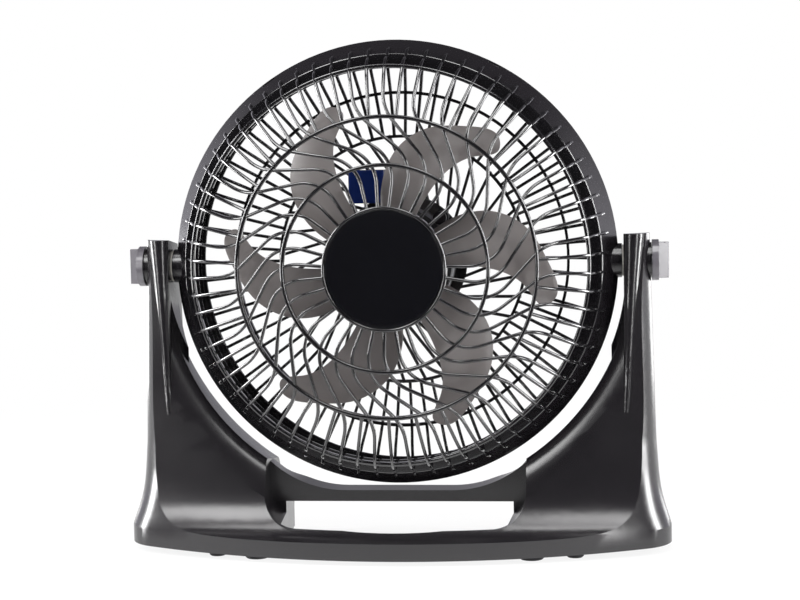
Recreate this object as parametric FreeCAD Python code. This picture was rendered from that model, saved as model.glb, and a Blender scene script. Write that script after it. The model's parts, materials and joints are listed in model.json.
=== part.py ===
import FreeCAD, Part
import math
import os

# Floor fan: a round head that tilts between the two arms of a moulded yoke base.
# Millimetres. X runs to the right, the fan blows towards -Y, Z is up, and the floor is z = 0.
# Head pieces are modelled about the Y axis at z = 0 and are lifted to the axle at the end.

V = FreeCAD.Vector

# Overall
axle_height = 211.0
base_half_width = 201.0
base_front = -78.0
base_half_depth = 66.0
arm_half_width = base_half_width - 14.0
arm_inner = arm_half_width - 19.0
arm_top = 231.0
wall = 2.8
foot_forward = -base_front - base_half_depth
slide_gap = 0.3
fit_gap = 0.05
past = 1.0
far_past = 20.0

# Base foot and arms
foot_height = 3.5
end_lift = 3.0
corner_radius = 30.0
skirt_height = 18.5
flare_top = 86.0
flare_spread = (1.0, 0.7, 0.47, 0.365, 0.3, 0.25)
panel_sweep = 2000.0
panel_line = ((-94, 11.5), (-66, 16.8), (-58, 19), (-51, 25), (-43.5, 36.5), (-35.4, 70), (-32.4, 98),
              (-19, 237))
yoke_radius = arm_inner + 7.0
bell_lean = 9.4
bell_front = -8.6
bell_rise = 3.3
bell_depth = 11.0
bell_width = 24.0
bell_lead = 14.0
ridge_in = 9.5
ridge_half_depth = 16.0
ridge_start = 100.0
ridge_clearance = 6.0
spine_width = 15.0
spine_tip_width = 1.5
spine_proud = 5.0
spine_tip = 102.0
spine_top_front = -21.0
spine_tip_front = -25.5

# Handle and the slot under it
handle_half_depth = 11.0
handle_top = 42.5
handle_thick = 8.3
handle_flat = 40.0
slot_half_width = 83.0
slot_back_half_width = 92.0
slot_front = 57.0
slot_sweep = 12.0
window_half_width = 96.0
window_bottom = 21.0
window_corner = 24.0
window_back = -8.0

# Feet
foot_pad_radius = 9.0
foot_pad_x = 100.0
foot_pad_y = 49.0
stud_radius = 6.3
stud_x = 131.0
stud_y = 42.0
foot_recess = 1.5
rear_pad_y = 32.0

# Rear housing (drum)
drum_wall = 2.6
drum_front_radius = 152.0
drum_front = -24.0
drum_radius = 164.3
drum_mid = -3.5
drum_band = 3.5
drum_back_radius = 160.5
drum_back = 28.0
drum_lip = 8.0
clip_angles = (62.0, 124.0, 240.0, 301.0)
clip_width = 11.0
clip_length = 6.0
clip_depth = 1.8

# Tilt pivots and knobs
boss_radius = 12.5
boss_start = 153.0
washer_thick = 1.0
washer_gap = 0.1
washer_radius = 11.5
boss_face = arm_inner - washer_thick - 2 * washer_gap
stud_shaft_radius = 3.0
insert_radius = 5.0
insert_length = 11.0
insert_start = boss_face - insert_length
arm_boss_radius = 13.0
arm_boss_face = arm_half_width + 1.2
knob_face = arm_boss_face + slide_gap
knob_flange_radius = 15.0
knob_flange_thick = 5.0
knob_tip = knob_face + 12.4
knob_grip_height = 26.0
knob_grip_thick = 9.0

# Front grille
rib_count = 35
rib_width = 2.3
rib_depth = 4.6
rib_phase = 2.0
rib_bends = ((78.1, -1.0, 27.0), (113.3, 26.3, 32.0))
inner_ring_turn = 1.6
hub_ring_radius = 44.5
hub_ring_width = 2.4
hub_front = -73.5
hub_floor = -69.0
hub_floor_thick = 2.4
hub_skirt = -60.5
inner_ring_radius = 73.4
inner_ring_y = -69.5
mid_ring_radius = 107.4
mid_ring_y = -63.0
brow_radius = 130.0
brow_y = -54.5
rib_start_y = -72.5
shoulder_radius = 145.0
shoulder_y = -44.5
seat_radius = 153.4
seat_y = -25.6
fin_radius = 158.8
fin_y = -17.2
ring_width = 2.8
ring_proud = 0.6
disc_gap = 0.2
disc_crown = 0.6
disc_shoulder = 4.0

# Rear grille
bar_count = 70
bar_width = 2.4
bar_depth = 3.6
bar_lean = 20.0
bar_plate_radius = 50.0
bar_plate = 47.0
bar_plate_thick = 3.0
fork_radius = 94.0
fork_y = 43.0
hoop_radius = 127.0
hoop_y = 36.5
grille_screw_circle = 155.5
grille_screw_count = 6
grille_screw_phase = 30.0

# Motor
shaft_radius = 4.0
shaft_front = -62.0
shaft_back = 46.0
motor_radius = 42.0
motor_front = -4.0
motor_back = bar_plate
motor_wall = 2.0
core_front = 13.0
core_back = 30.0
rotor_radius = 22.0
air_gap = 0.5
winding_outer = 37.0
winding_width = 11.0
winding_height = 8.0
slot_count = 16
slot_width = 3.0
bearing_radius = 8.0
bearing_length = 8.0
bolt_circle = 46.0
bolt_radius = 1.8
ear_radius = 5.0
ear_thick = 4.0
vent_count = 16
vent_width = 4.5
vent_margin = 4.0
motor_screw_circle = 26.0
screw_radius = 1.8
hole_radius = screw_radius + fit_gap
screw_head = 2.0

# Impeller
impeller_front = -56.0
impeller_back = -16.0
hub_radius = 36.0
hub_wall = 2.4
boss_outer = 9.0
pin_y = -30.0
pin_radius = 1.2
nut_radius = 9.0
nut_length = 5.0
blade_count = 6
blade_phase = 2.0
blade_tip = (121.0, -14.0)
blade_plan = ((32.0, -2.3, 36.5), (65.0, -2.3, 32.4), (86.0, -6.0, 23.8), (102.0, -12.0, 12.8),
              (115.0, -16.5, -2.0))
blade_stations = ((30.0, 17.0, 44.0, 42.0), (62.0, 15.0, 60.0, 34.0), (94.0, 5.0, 68.0, 27.0),
                  (124.0, -14.0, 68.0, 22.0))
blade_camber = 0.06
blade_thick = 2.0
blade_edge = 0.6
blade_mid = -32.0

# Capacitor beside the motor
capacitor_size = (27.0, 15.0, 25.0)
capacitor_place = (-23.5, 27.0, 56.5)
capacitor_clip_thick = 1.6
clip_foot_x = -16.0
clip_foot_width = 5.0

# Rear cover and speed control
cover_radius = 47.0
cover_back = 67.0
cover_wall = 2.4
cover_taper = 5.0
cover_screw_circle = 36.0
post_radius = 4.0
switch_size = (24.0, 8.0, 24.0)
spindle_radius = 3.0
speed_knob_radius = 15.0
speed_knob_gap = 0.6
finger_bar = 6.0
knob_cap = 3.0
gland_radius = 7.5
gland_neck_radius = 5.0
gland_flange = 3.0
gland_length = 12.0
gland_bore = 3.2
gland_y = 59.0


# Helpers
def loop(points):
    """A closed straight-sided wire."""
    return Part.makePolygon([V(*p) for p in points] + [V(*points[0])])


def turned(outline):
    """A solid turned about the Y axis from an outline of (radius, y)."""
    face = Part.Face(loop([(radius, y, 0.0) for radius, y in outline]))
    return face.revolve(V(0, 0, 0), V(0, 1, 0), 360)


def round_y(radius, y0, y1, x=0.0, z=0.0):
    return Part.makeCylinder(radius, y1 - y0, V(x, y0, z), V(0, 1, 0))


def round_x(radius, x0, x1, y=0.0, z=0.0):
    return Part.makeCylinder(radius, x1 - x0, V(x0, y, z), V(1, 0, 0))


def ring_y(outer, inner, y0, y1):
    return round_y(outer, y0, y1).cut(round_y(inner, y0 - past, y1 + past))


def disc_prism(radius, y0, y1, phase):
    """A flat-sided disc with one side square to every rib or bar, which leave from flat faces."""
    sides = 2 * rib_count
    corner = radius / math.cos(math.pi / sides)
    corners = [polar(corner, phase + 360.0 * (i + 0.5) / sides, y0) for i in range(sides)]
    return Part.Face(Part.makePolygon(corners + corners[:1])).extrude(V(0, y1 - y0, 0))


def hoop(outer, inner, y0, y1, phase):
    return disc_prism(outer, y0, y1, phase).cut(disc_prism(inner, y0, y1, phase))


def box(x0, x1, y0, y1, z0, z1):
    return Part.makeBox(x1 - x0, y1 - y0, z1 - z0, V(x0, y0, z0))


def turn(shape, angle):
    """A copy turned about the fan axis, anticlockwise as seen from the front."""
    copy = shape.copy()
    copy.rotate(V(0, 0, 0), V(0, -1, 0), angle)
    return copy


def around(shape, count, start=0.0):
    return [turn(shape, start + 360.0 * i / count) for i in range(count)]


def mirrored(shape, normal):
    return shape.mirror(V(0, 0, 0), normal)


def both_sides(shape):
    return [shape, mirrored(shape, V(1, 0, 0))]


def fused(shapes):
    whole = shapes[0].multiFuse(shapes[1:])
    return whole.removeSplitter()


def lift(shape):
    return shape.translated(V(0, 0, axle_height))


def polar(radius, angle, y=0.0):
    """A point on the fan's face, anticlockwise as seen from the front."""
    a = math.radians(angle)
    return V(radius * math.cos(a), y, radius * math.sin(a))


# Base
def plan_wire(half_width, forward, inset, z):
    """The base in plan: long front and back arcs that run into round ends."""
    tip = corner_radius - inset
    width = half_width - inset
    depth = base_half_depth - inset
    reach = width - tip
    radius = (reach ** 2 + depth ** 2 - tip ** 2) / (2 * (depth - tip))
    joint_x = reach + tip * reach / (radius - tip)
    joint_y = tip * (radius - depth) / (radius - tip)
    front = Part.Arc(V(-joint_x, -joint_y, z), V(0, -depth, z), V(joint_x, -joint_y, z))
    right = Part.Arc(V(joint_x, -joint_y, z), V(width, 0, z), V(joint_x, joint_y, z))
    back = Part.Arc(V(joint_x, joint_y, z), V(0, depth, z), V(-joint_x, joint_y, z))
    left = Part.Arc(V(-joint_x, joint_y, z), V(-width, 0, z), V(-joint_x, -joint_y, z))
    return Part.Wire([edge.toShape() for edge in (front, right, back, left)]).translated(V(0, -forward, 0))


def spread_wire(z, spread, inset):
    """The plan at one height: the foot has a spread of 1 and the arms' tops have 0."""
    half_width = arm_half_width + (base_half_width - arm_half_width) * spread
    return plan_wire(half_width, foot_forward * spread, inset, z)


def side_walls():
    """The base's outer side surface as a solid: upright skirt, smooth flare, slim arms."""
    skirt = Part.Face(spread_wire(0.0, 1.0, 0.0)).extrude(V(0, 0, skirt_height))
    step = (flare_top - skirt_height) / (len(flare_spread) - 1)
    flare = [spread_wire(skirt_height + step * i, spread, 0.0) for i, spread in enumerate(flare_spread)]
    arms = [flare[-1], spread_wire(arm_top, 0.0, 0.0)]
    return fused([skirt, Part.makeLoft(flare, True), Part.makeLoft(arms, True, True)])


def room_inside():
    """The room within the side walls, in upright steps that leave at least the wall at every height."""
    step = (flare_top - skirt_height) / (len(flare_spread) - 1)
    low = 0.0
    high = skirt_height
    steps = []
    for spread in flare_spread + (0.0,):
        top = high if spread else arm_top - wall
        steps.append(Part.Face(spread_wire(low, spread, wall)).extrude(V(0, 0, top - low)))
        low = high
        high += step
    return fused(steps)


def under_floor():
    """What lies under the base's lower edge, which lifts a little towards both ends."""
    half = base_half_width + far_past
    y0 = base_front - far_past
    low = -far_past
    lift_end = foot_height + end_lift
    left = V(-half, y0, lift_end)
    right = V(half, y0, lift_end)
    edges = [Part.Arc(left, V(0, y0, foot_height), right).toShape()]
    edges.append(Part.makeLine(right, V(half, y0, low)))
    edges.append(Part.makeLine(V(half, y0, low), V(-half, y0, low)))
    edges.append(Part.makeLine(V(-half, y0, low), left))
    return Part.Face(Part.Wire(edges)).extrude(V(0, -2 * y0, 0))


def panel_front(inset):
    """What lies in front of the coved panel, swept about a far upright axis so that it bows a little."""
    line = [V(0, y, z) for y, z in set_back(panel_line, -inset)]
    curve = Part.BSplineCurve()
    curve.interpolate(line)
    cove = Part.makePolygon(line).Edges if inset else [curve.toShape()]
    ahead = 2 * base_front
    corners = [line[-1], V(0, ahead, line[-1].z), V(0, ahead, line[0].z), line[0]]
    edges = cove + [Part.makeLine(corners[i], corners[i + 1]) for i in range(3)]
    face = Part.Face(Part.Wire(edges))
    half_turn = math.degrees(math.asin((base_half_width + far_past) / panel_sweep))
    axis = V(0, panel_sweep, 0)
    face.rotate(axis, V(0, 0, 1), -half_turn)
    return face.revolve(axis, V(0, 0, 1), 2 * half_turn)


def panels_cut(block, inset):
    """The block with its coved front panel and the same panel at the back."""
    front = panel_front(inset)
    return block.cut(front).cut(mirrored(front, V(0, 1, 0)))


def yoke_mouth(grow):
    """The front of the yoke opening: a bore that widens in an elliptic curve to the leaning panel."""
    throat = yoke_radius + grow
    mouth = throat + bell_width
    ahead = grow - bell_lead
    back = -base_front / 2
    side = V(throat, bell_depth + grow, 0)
    front = V(mouth, grow, 0)
    ellipse = Part.Ellipse(side, front, V(mouth, bell_depth + grow, 0))
    corners = [front, V(mouth, ahead, 0), V(0, ahead, 0), V(0, back, 0), V(throat, back, 0), side]
    edges = [Part.makeLine(side, front) if grow else Part.ArcOfEllipse(ellipse, 0, math.pi / 2).toShape()]
    edges += [Part.makeLine(corners[i], corners[i + 1]) for i in range(5)]
    bell = Part.Face(Part.Wire(Part.__sortEdges__(edges))).revolve(V(0, 0, 0), V(0, 1, 0), 360)
    bell.rotate(V(0, 0, 0), V(1, 0, 0), -bell_lean)
    return bell.translated(V(0, bell_front, axle_height + bell_rise))


def yoke_opening(grow):
    """The U between the arms, clear of the head as it tilts: round mouths below, straight sides above."""
    half = arm_inner + grow
    over = arm_top + far_past
    far = base_front - far_past
    drop = math.sqrt((yoke_radius + grow) ** 2 - half ** 2)
    mouth = yoke_mouth(grow).common(box(-half, half, far, 0, 0, over))
    sides = box(-half, half, far, -far, axle_height - drop, over)
    return fused([sides, mouth, mirrored(mouth, V(0, 1, 0))])


def handle_slot(grow):
    """The way through under the grip: curved along the apron, wider to the back."""
    y_side = -slot_front + slot_sweep - grow
    y_back = far_past - base_front
    near = slot_half_width + grow
    far = slot_back_half_width + grow
    corners = [V(near, y_side, 0), V(far, y_back, 0), V(-far, y_back, 0), V(-near, y_side, 0)]
    edges = [Part.Arc(corners[3], V(0, -slot_front - grow, 0), corners[0]).toShape()]
    edges += [Part.makeLine(corners[i], corners[i + 1]) for i in range(3)]
    return Part.Face(Part.Wire(edges)).extrude(V(0, 0, axle_height))


def handle_window(grow):
    """The wider recess in the front panel that lets a hand reach the grip."""
    half = window_half_width + grow
    low = window_bottom - grow
    bend = window_corner
    y0 = base_front - far_past
    cut = bend * (1 - math.sqrt(0.5))
    start = V(half, y0, low + bend)
    turn_in = V(half - bend, y0, low)
    corner = Part.Arc(start, V(half - cut, y0, low + cut), turn_in).toShape()
    top_right = V(half, y0, axle_height)
    top_left = V(-half, y0, axle_height)
    edges = [Part.makeLine(top_right, start), corner, Part.makeLine(turn_in, V(-turn_in.x, y0, low))]
    edges += [mirrored(corner, V(1, 0, 0)), Part.makeLine(V(-half, y0, low + bend), top_left)]
    edges.append(Part.makeLine(top_left, top_right))
    wire = Part.Wire(Part.__sortEdges__(edges))
    front = Part.Face(wire).extrude(V(0, window_back + grow - y0, 0))
    over = box(-half, half, window_back, -y0, handle_top - handle_thick - grow, axle_height)
    return front.fuse(over)


def handle_bar():
    """The grip: flat in the middle and swept up to the yoke opening at both ends."""
    y0 = -handle_half_depth
    top = axle_height - math.sqrt(yoke_radius ** 2 - window_half_width ** 2)
    run = window_half_width - handle_flat
    rise = top - handle_top
    radius = (run ** 2 + rise ** 2) / (2 * rise)
    bend = V(handle_flat + run / 2, y0, handle_top + radius - math.sqrt(radius ** 2 - run ** 2 / 4))
    low = handle_top - handle_thick
    end = window_half_width + wall
    right = Part.Arc(V(handle_flat, y0, handle_top), bend, V(window_half_width, y0, top)).toShape()
    corners = [V(window_half_width, y0, top), V(end, y0, top), V(end, y0, low), V(-end, y0, low)]
    corners += [V(-end, y0, top), V(-window_half_width, y0, top)]
    edges = [Part.makeLine(corners[i], corners[i + 1]) for i in range(5)]
    edges += [mirrored(right, V(1, 0, 0)), right]
    edges.append(Part.makeLine(V(-handle_flat, y0, handle_top), V(handle_flat, y0, handle_top)))
    wire = Part.Wire(Part.__sortEdges__(edges))
    return Part.Face(wire).extrude(V(0, 2 * handle_half_depth, 0))


def arm_ridge():
    """The inward ridge on the right arm, trimmed to the sweep of the head."""
    root = arm_inner + wall
    tip = arm_inner - ridge_in
    low = ridge_start
    plan = [(root, -ridge_half_depth, low), (tip, 0, low), (root, ridge_half_depth, low)]
    ridge = Part.Face(loop(plan)).extrude(V(0, 0, axle_height - ridge_start))
    return ridge.cut(Part.makeSphere(drum_radius + ridge_clearance, V(0, 0, axle_height)))


def arm_spine():
    """The rounded bar down the front of the right arm, which dies into the panel."""
    def section(z, width, front):
        inner = V(arm_inner, front + spine_proud, z)
        outer = V(arm_inner + width, front + spine_proud, z)
        nose = V(arm_inner + width / 2, front, z)
        back_inner = V(arm_inner, 0, z)
        back_outer = V(arm_inner + width, 0, z)
        edges = [Part.Arc(inner, nose, outer).toShape(), Part.makeLine(outer, back_outer)]
        edges += [Part.makeLine(back_outer, back_inner), Part.makeLine(back_inner, inner)]
        return Part.Wire(edges)

    top = section(arm_top, spine_width, spine_top_front)
    tip = section(spine_tip, spine_tip_width, spine_tip_front)
    return Part.makeLoft([top, tip], True, True)


def foot_posts(x, y, radius):
    """Solid posts under the shell that carry one pair of feet."""
    return both_sides(Part.makeCylinder(radius + wall, skirt_height, V(x, y, 0)))


def base_shell():
    outer = panels_cut(side_walls(), 0.0).cut(under_floor())
    inner = panels_cut(room_inside(), wall)
    feet = ((foot_pad_x, -foot_pad_y, foot_pad_radius), (foot_pad_x, rear_pad_y, foot_pad_radius),
            (stud_x, -stud_y, stud_radius))
    for solid in (yoke_opening(wall), handle_slot(wall), handle_window(wall)):
        inner = inner.cut(solid)
    across = (arm_inner - far_past, arm_half_width + far_past, 0, axle_height)
    for pivot in both_sides(round_x(boss_radius, *across)):
        inner = inner.cut(pivot)
    for x, y, radius in feet:
        for post in foot_posts(x, y, radius):
            inner = inner.cut(post)
    shell = outer
    for solid in (yoke_opening(0.0), handle_slot(0.0), handle_window(0.0)):
        shell = shell.cut(solid)
    for solid in both_sides(arm_ridge()) + both_sides(arm_spine()) + [handle_bar()]:
        shell = shell.fuse(solid)
    shell = shell.cut(inner)
    boss = round_x(arm_boss_radius, arm_inner + wall, arm_boss_face, 0, axle_height)
    bore = round_x(stud_shaft_radius + slide_gap, *across)
    for solid in both_sides(boss):
        shell = shell.fuse(solid)
    for solid in both_sides(bore):
        shell = shell.cut(solid)
    for x, y, radius in feet:
        for seat in both_sides(foot_seat(x, y, radius)):
            shell = shell.cut(seat)
    return shell.removeSplitter()


def foot_seat(x, y, radius):
    return Part.makeCylinder(radius + fit_gap, foot_recess + end_lift, V(x, y, foot_height - end_lift))


def foot_pad(x, y, radius):
    """A rubber pad pressed into its recess, with a softened tread edge."""
    edge = 1.0
    pad = Part.makeCylinder(radius, foot_height - edge + foot_recess, V(x, y, edge))
    tread = Part.makeCone(radius - edge, radius, edge, V(x, y, 0))
    return pad.fuse(tread).removeSplitter()


def rubber_pads(places, radius):
    return Part.makeCompound([foot_pad(x, y, radius) for x, y in places])


# Rear housing
def drum_outline():
    return [(drum_front_radius, drum_front), (drum_radius, drum_mid), (drum_radius, drum_mid + drum_band),
            (drum_back_radius, drum_back)]


def drum_inside():
    return [(radius - drum_wall, y) for radius, y in drum_outline()]


def rear_housing():
    """The drum: tapered rim, slim band, inner lip for the rear grille, pivot bosses, clip windows."""
    lip = drum_back_radius - drum_lip
    inside = drum_inside()
    inside[-1] = (inside[-1][0], drum_back - drum_wall)
    outline = drum_outline() + [(lip, drum_back), (lip, drum_back - drum_wall)] + inside[::-1]
    bosses = both_sides(round_x(boss_radius, boss_start, boss_face))
    drum = fused([turned(outline)] + bosses)
    half = clip_width / 2
    window = box(drum_radius - clip_depth, drum_radius + past, drum_mid - clip_length, drum_mid, -half, half)
    for angle in clip_angles:
        drum = drum.cut(turn(window, angle))
    pocket = round_x(insert_radius + fit_gap, insert_start, boss_face + past)
    for side in both_sides(pocket):
        drum = drum.cut(side)
    hole = round_y(hole_radius, drum_back - 2 * drum_wall, drum_back + past, grille_screw_circle)
    for copy in around(hole, grille_screw_count, grille_screw_phase):
        drum = drum.cut(copy)
    return drum.removeSplitter()


# Front grille
def set_back(points, depth):
    """The line of (radius, y) points moved towards the inside by a depth."""
    moved = []
    last = len(points) - 1
    for i, (radius, y) in enumerate(points):
        before = points[max(i - 1, 0)]
        after = points[min(i + 1, last)]
        along = (after[0] - before[0], after[1] - before[1])
        size = math.hypot(*along)
        moved.append((radius - depth * along[1] / size, y + depth * along[0] / size))
    return moved


def dome_front():
    """(radius, y) of the ribs' front edge, from the hub over the shoulder to the fin tips."""
    line = [(hub_ring_radius - hub_ring_width, rib_start_y), (inner_ring_radius, inner_ring_y)]
    line += [(mid_ring_radius, mid_ring_y), (brow_radius, brow_y), (shoulder_radius, shoulder_y)]
    return line + [(seat_radius, seat_y), (fin_radius, fin_y)]


def path_side(corners, radii, shift):
    """Lines and arcs through plan corners with round bends, moved to the left by a shift."""
    last = len(corners) - 1
    ways = [(corners[i + 1] - corners[i]).normalize() for i in range(last)]
    lefts = [V(-way.z, 0, way.x) for way in ways]
    edges = []
    here = corners[0] + lefts[0] * shift
    for i in range(1, last):
        both = lefts[i - 1] + lefts[i]
        corner = corners[i] + both * (2 * shift / both.dot(both))
        turning = ways[i - 1].getAngle(ways[i])
        side = 1 if lefts[i - 1].dot(ways[i]) > 0 else -1
        radius = radii[i - 1] - side * shift
        reach = radius * math.tan(turning / 2)
        begin = corner - ways[i - 1] * reach
        finish = corner + ways[i] * reach
        centre = begin + lefts[i - 1] * (side * radius)
        middle = centre + (corner - centre).normalize() * radius
        edges += [Part.makeLine(here, begin), Part.Arc(begin, middle, finish).toShape()]
        here = finish
    end = corners[last] + lefts[-1] * shift
    edges.append(Part.makeLine(here, end))
    return edges, corners[0] + lefts[0] * shift, end


def ribbon(corners, radii, width):
    """A flat ribbon of one width along a bent line, as a face at y = 0."""
    left, left_start, left_end = path_side(corners, radii, width / 2)
    right, right_start, right_end = path_side(corners, radii, -width / 2)
    ends = [Part.makeLine(left_end, right_end), Part.makeLine(right_start, left_start)]
    return Part.Face(Part.Wire(Part.__sortEdges__(left + right + ends)))


def outer_rib():
    """(radius, y) round a rib's outer stretch: over the shoulder and down to a fin on the drum's taper."""
    front = dome_front()[2:]
    back = set_back(front, rib_depth)[:-2]
    seat = drum_front - fit_gap
    taper = (drum_radius - drum_front_radius) / (drum_mid - drum_front)
    fin_foot = drum_front_radius + (fin_y - drum_front) * taper + fit_gap
    foot = [(fin_foot, fin_y), (drum_front_radius + fit_gap, seat), (drum_front_radius - drum_wall, seat)]
    return front + foot + back[::-1]


def inner_rib(line):
    """(radius, y) round a rib's stretch between two rings."""
    return line + set_back(line, rib_depth)[::-1]


def rib_zone(outline, angle, spread):
    """The skin that a rib fills between two rings: a flat-sided slab square to one radius."""
    face = Part.Face(loop([(radius, y, -spread) for radius, y in outline]))
    return turn(face.extrude(V(0, 0, 2 * spread)), angle)


def long_rib():
    """One S-curved rib from the hub to the fin over the drum's rim, in three zones that meet in rings."""
    bends = [polar(radius, angle) for radius, angle, bend in rib_bends]
    radii = [bend for radius, angle, bend in rib_bends]
    swept = rib_bends[-1][1]
    ahead = hub_front - past
    plan = [polar(hub_ring_radius - past, 0)] + bends + [polar(fin_radius + far_past, swept)]
    whole = ribbon(plan, radii, rib_width).translated(V(0, ahead, 0)).extrude(V(0, -ahead, 0))
    line = dome_front()
    inside = round_y(inner_ring_radius, ahead, 0)
    within = round_y(mid_ring_radius, ahead, 0)
    zones = [whole.common(inside).common(rib_zone(inner_rib(line[:2]), 0.0, inner_ring_radius))]
    middle = rib_zone(inner_rib(line[1:3]), swept / 2, inner_ring_radius)
    zones.append(whole.common(within.cut(inside)).common(middle))
    zones.append(whole.cut(within).common(rib_zone(outer_rib(), swept, inner_ring_radius)))
    return zones


def short_rib():
    """One of the ribs between the long ones, from the middle ring outwards."""
    return rib_zone(outer_rib(), rib_bends[-1][1], rib_width / 2)


def front_grille():
    """Domed guard: S-curved ribs, four rings, a hub cup and a seat on the drum's front edge."""
    ribs = around(short_rib(), rib_count, rib_phase + 180.0 / rib_count)
    for zone in long_rib():
        ribs += around(zone, rib_count, rib_phase)
    half = ring_width / 2
    bore = hub_ring_radius - hub_ring_width
    swept = rib_phase + rib_bends[-1][1]
    rings = [hoop(hub_ring_radius, bore, hub_front, hub_skirt, rib_phase)]
    rings.append(round_y(hub_ring_radius - hub_ring_width / 2, hub_floor, hub_floor + hub_floor_thick))
    leaving = rib_phase + inner_ring_turn
    for radius, y, phase in ((inner_ring_radius, inner_ring_y, leaving), (mid_ring_radius, mid_ring_y, swept)):
        rings.append(hoop(radius + half, radius - half, y - ring_proud, y + rib_depth + ring_proud, phase))
    inside = shoulder_radius - ring_width
    rings.append(hoop(shoulder_radius, inside, shoulder_y - ring_proud, shoulder_y + rib_depth, swept))
    rings.append(hoop(seat_radius, drum_front_radius - drum_wall, seat_y - ring_proud, drum_front, swept))
    return fused(rings + ribs)


def hub_disc():
    """The bare gloss disc in the hub cup, slightly crowned."""
    rim = hub_ring_radius - hub_ring_width - disc_gap
    edge = hub_front + disc_gap
    crown = edge - disc_crown
    return turned([(0, hub_floor), (rim, hub_floor), (rim, edge), (rim - disc_shoulder, crown), (0, crown)])


# Rear grille
def bar(start, end, angle, line):
    """A straight bar between two plan points: its side outline, given along the bar, made bar_width thick."""
    way = (end - start).normalize()
    side = V(-way.z, 0, way.x) * (bar_width / 2)
    outline = [start + way * along + V(0, y, 0) - side for along, y in line]
    return turn(Part.Face(Part.makePolygon(outline + outline[:1])).extrude(side * 2), angle)


def rear_grille():
    """Dished guard: radial bars that fork at one ring, and a plate that carries the motor."""
    rim = drum_back_radius - drum_wall
    first = fork_radius - 1
    hoop_run = hoop_radius - first
    rim_run = rim - drum_lip / 2 - first
    front = [(0, fork_y), (hoop_run, hoop_y), (rim_run, drum_back + ring_proud)]
    back = [(rim_run, drum_back + bar_plate_thick - ring_proud), (hoop_run, hoop_y + bar_depth)]
    outer = front + back + [(0, fork_y + bar_depth)]
    root = polar(bar_plate_radius - 2, -bar_lean)
    fork = polar(fork_radius + 1, 0)
    run = (fork - root).Length
    plate_back = bar_plate + bar_plate_thick
    inner = [(0, bar_plate + ring_proud), (run, fork_y + ring_proud), (run, fork_y + bar_depth)]
    inner.append((0, plate_back - ring_proud))
    rings = []
    for radius, y in ((fork_radius, fork_y), (hoop_radius, hoop_y)):
        half = bar_width / 2
        rings.append(hoop(radius + half, radius - half, y - ring_proud, y + bar_depth + ring_proud, 0.0))
    rings.append(hoop(rim, rim - drum_lip, drum_back, drum_back + bar_plate_thick, 0.0))
    rings.append(disc_prism(bar_plate_radius, bar_plate, plate_back, 0.0))
    pitch = 360.0 / bar_count
    bars = [bar(polar(first, 0), polar(rim, 0), pitch * i, outer) for i in range(bar_count)]
    bars += [bar(root, fork, pitch * (2 * i + 0.5), inner) for i in range(bar_count // 2)]
    grille = fused(rings + bars)
    hole = round_y(hole_radius, drum_back - past, bar_plate, grille_screw_circle)
    holes = around(hole, grille_screw_count, grille_screw_phase)
    for circle, count, phase in ((motor_screw_circle, 4, 45.0), (cover_screw_circle, 3, 90.0)):
        hole = round_y(hole_radius, bar_plate - past, plate_back + past, circle)
        holes += around(hole, count, phase)
    return grille.cut(Part.makeCompound(holes)).removeSplitter()


def screw(circle, head_y, tip_y):
    """A pan-head screw along the fan axis, its head at head_y."""
    way = 1 if tip_y > head_y else -1
    low, high = sorted((head_y, tip_y))
    shank = round_y(screw_radius, low, high, circle)
    low, high = sorted((head_y, head_y - way * screw_head))
    return shank.fuse(round_y(2 * screw_radius, low, high, circle)).removeSplitter()


def screw_group(circle, count, phase, head_y, tip_y):
    return Part.makeCompound(around(screw(circle, head_y, tip_y), count, phase))


# Motor
def motor_bracket(face, core, inward):
    """A vented cup with a bearing seat and four bolt ears. inward is +1 or -1 along Y."""
    seat = bearing_radius + fit_gap
    skin = face + inward * motor_wall
    seat_end = face + inward * bearing_length
    cup = [(seat, face), (motor_radius - 2, face), (motor_radius, face + inward * 2), (motor_radius, core),
           (motor_radius - motor_wall, core), (motor_radius - motor_wall, skin), (seat + motor_wall, skin),
           (seat + motor_wall, seat_end), (seat, seat_end)]
    low, high = sorted((core, core - inward * ear_thick))
    ears = around(round_y(ear_radius, low, high, bolt_circle), 4, 45.0)
    low_skin, high_skin = sorted((skin, core))
    hollow = ring_y(motor_radius - motor_wall, seat + motor_wall, low_skin, high_skin)
    bracket = fused([turned(cup)] + ears).cut(hollow)
    low, high = sorted((face + inward * vent_margin, core - inward * (ear_thick + past)))
    half = vent_width / 2
    slot = box(motor_radius - 2 * motor_wall, motor_radius + past, low, high, -half, half)
    for copy in around(slot, vent_count):
        bracket = bracket.cut(copy)
    low, high = sorted((core + inward, core - inward * (ear_thick + past)))
    for copy in around(round_y(bolt_radius + fit_gap, low, high, bolt_circle), 4, 45.0):
        bracket = bracket.cut(copy)
    return bracket


def motor_rear_bracket():
    bracket = motor_bracket(motor_back, core_back, -1)
    hole = round_y(hole_radius, motor_back - motor_wall - past, motor_back + past, motor_screw_circle)
    for copy in around(hole, 4, 45.0):
        bracket = bracket.cut(copy)
    return bracket.removeSplitter()


def stator_core():
    """The laminated stack, with its slots open to the bore."""
    core = ring_y(motor_radius, rotor_radius + air_gap, core_front, core_back)
    half = slot_width / 2
    slot = box(rotor_radius, winding_outer, core_front - past, core_back + past, -half, half)
    for copy in around(slot, slot_count, 180.0 / slot_count):
        core = core.cut(copy)
    return core


def stator_windings():
    """The two end turns of the windings, as closed rings against the stack."""
    inner = winding_outer - winding_width
    rings = []
    for face, way in ((core_front, -1), (core_back, 1)):
        edge = face + way * (winding_height - 2)
        end = face + way * winding_height
        outline = [(inner, face), (winding_outer, face), (winding_outer, edge), (winding_outer - 2, end)]
        rings.append(turned(outline + [(inner + 2, end), (inner, edge)]))
    return Part.makeCompound(rings)


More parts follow.
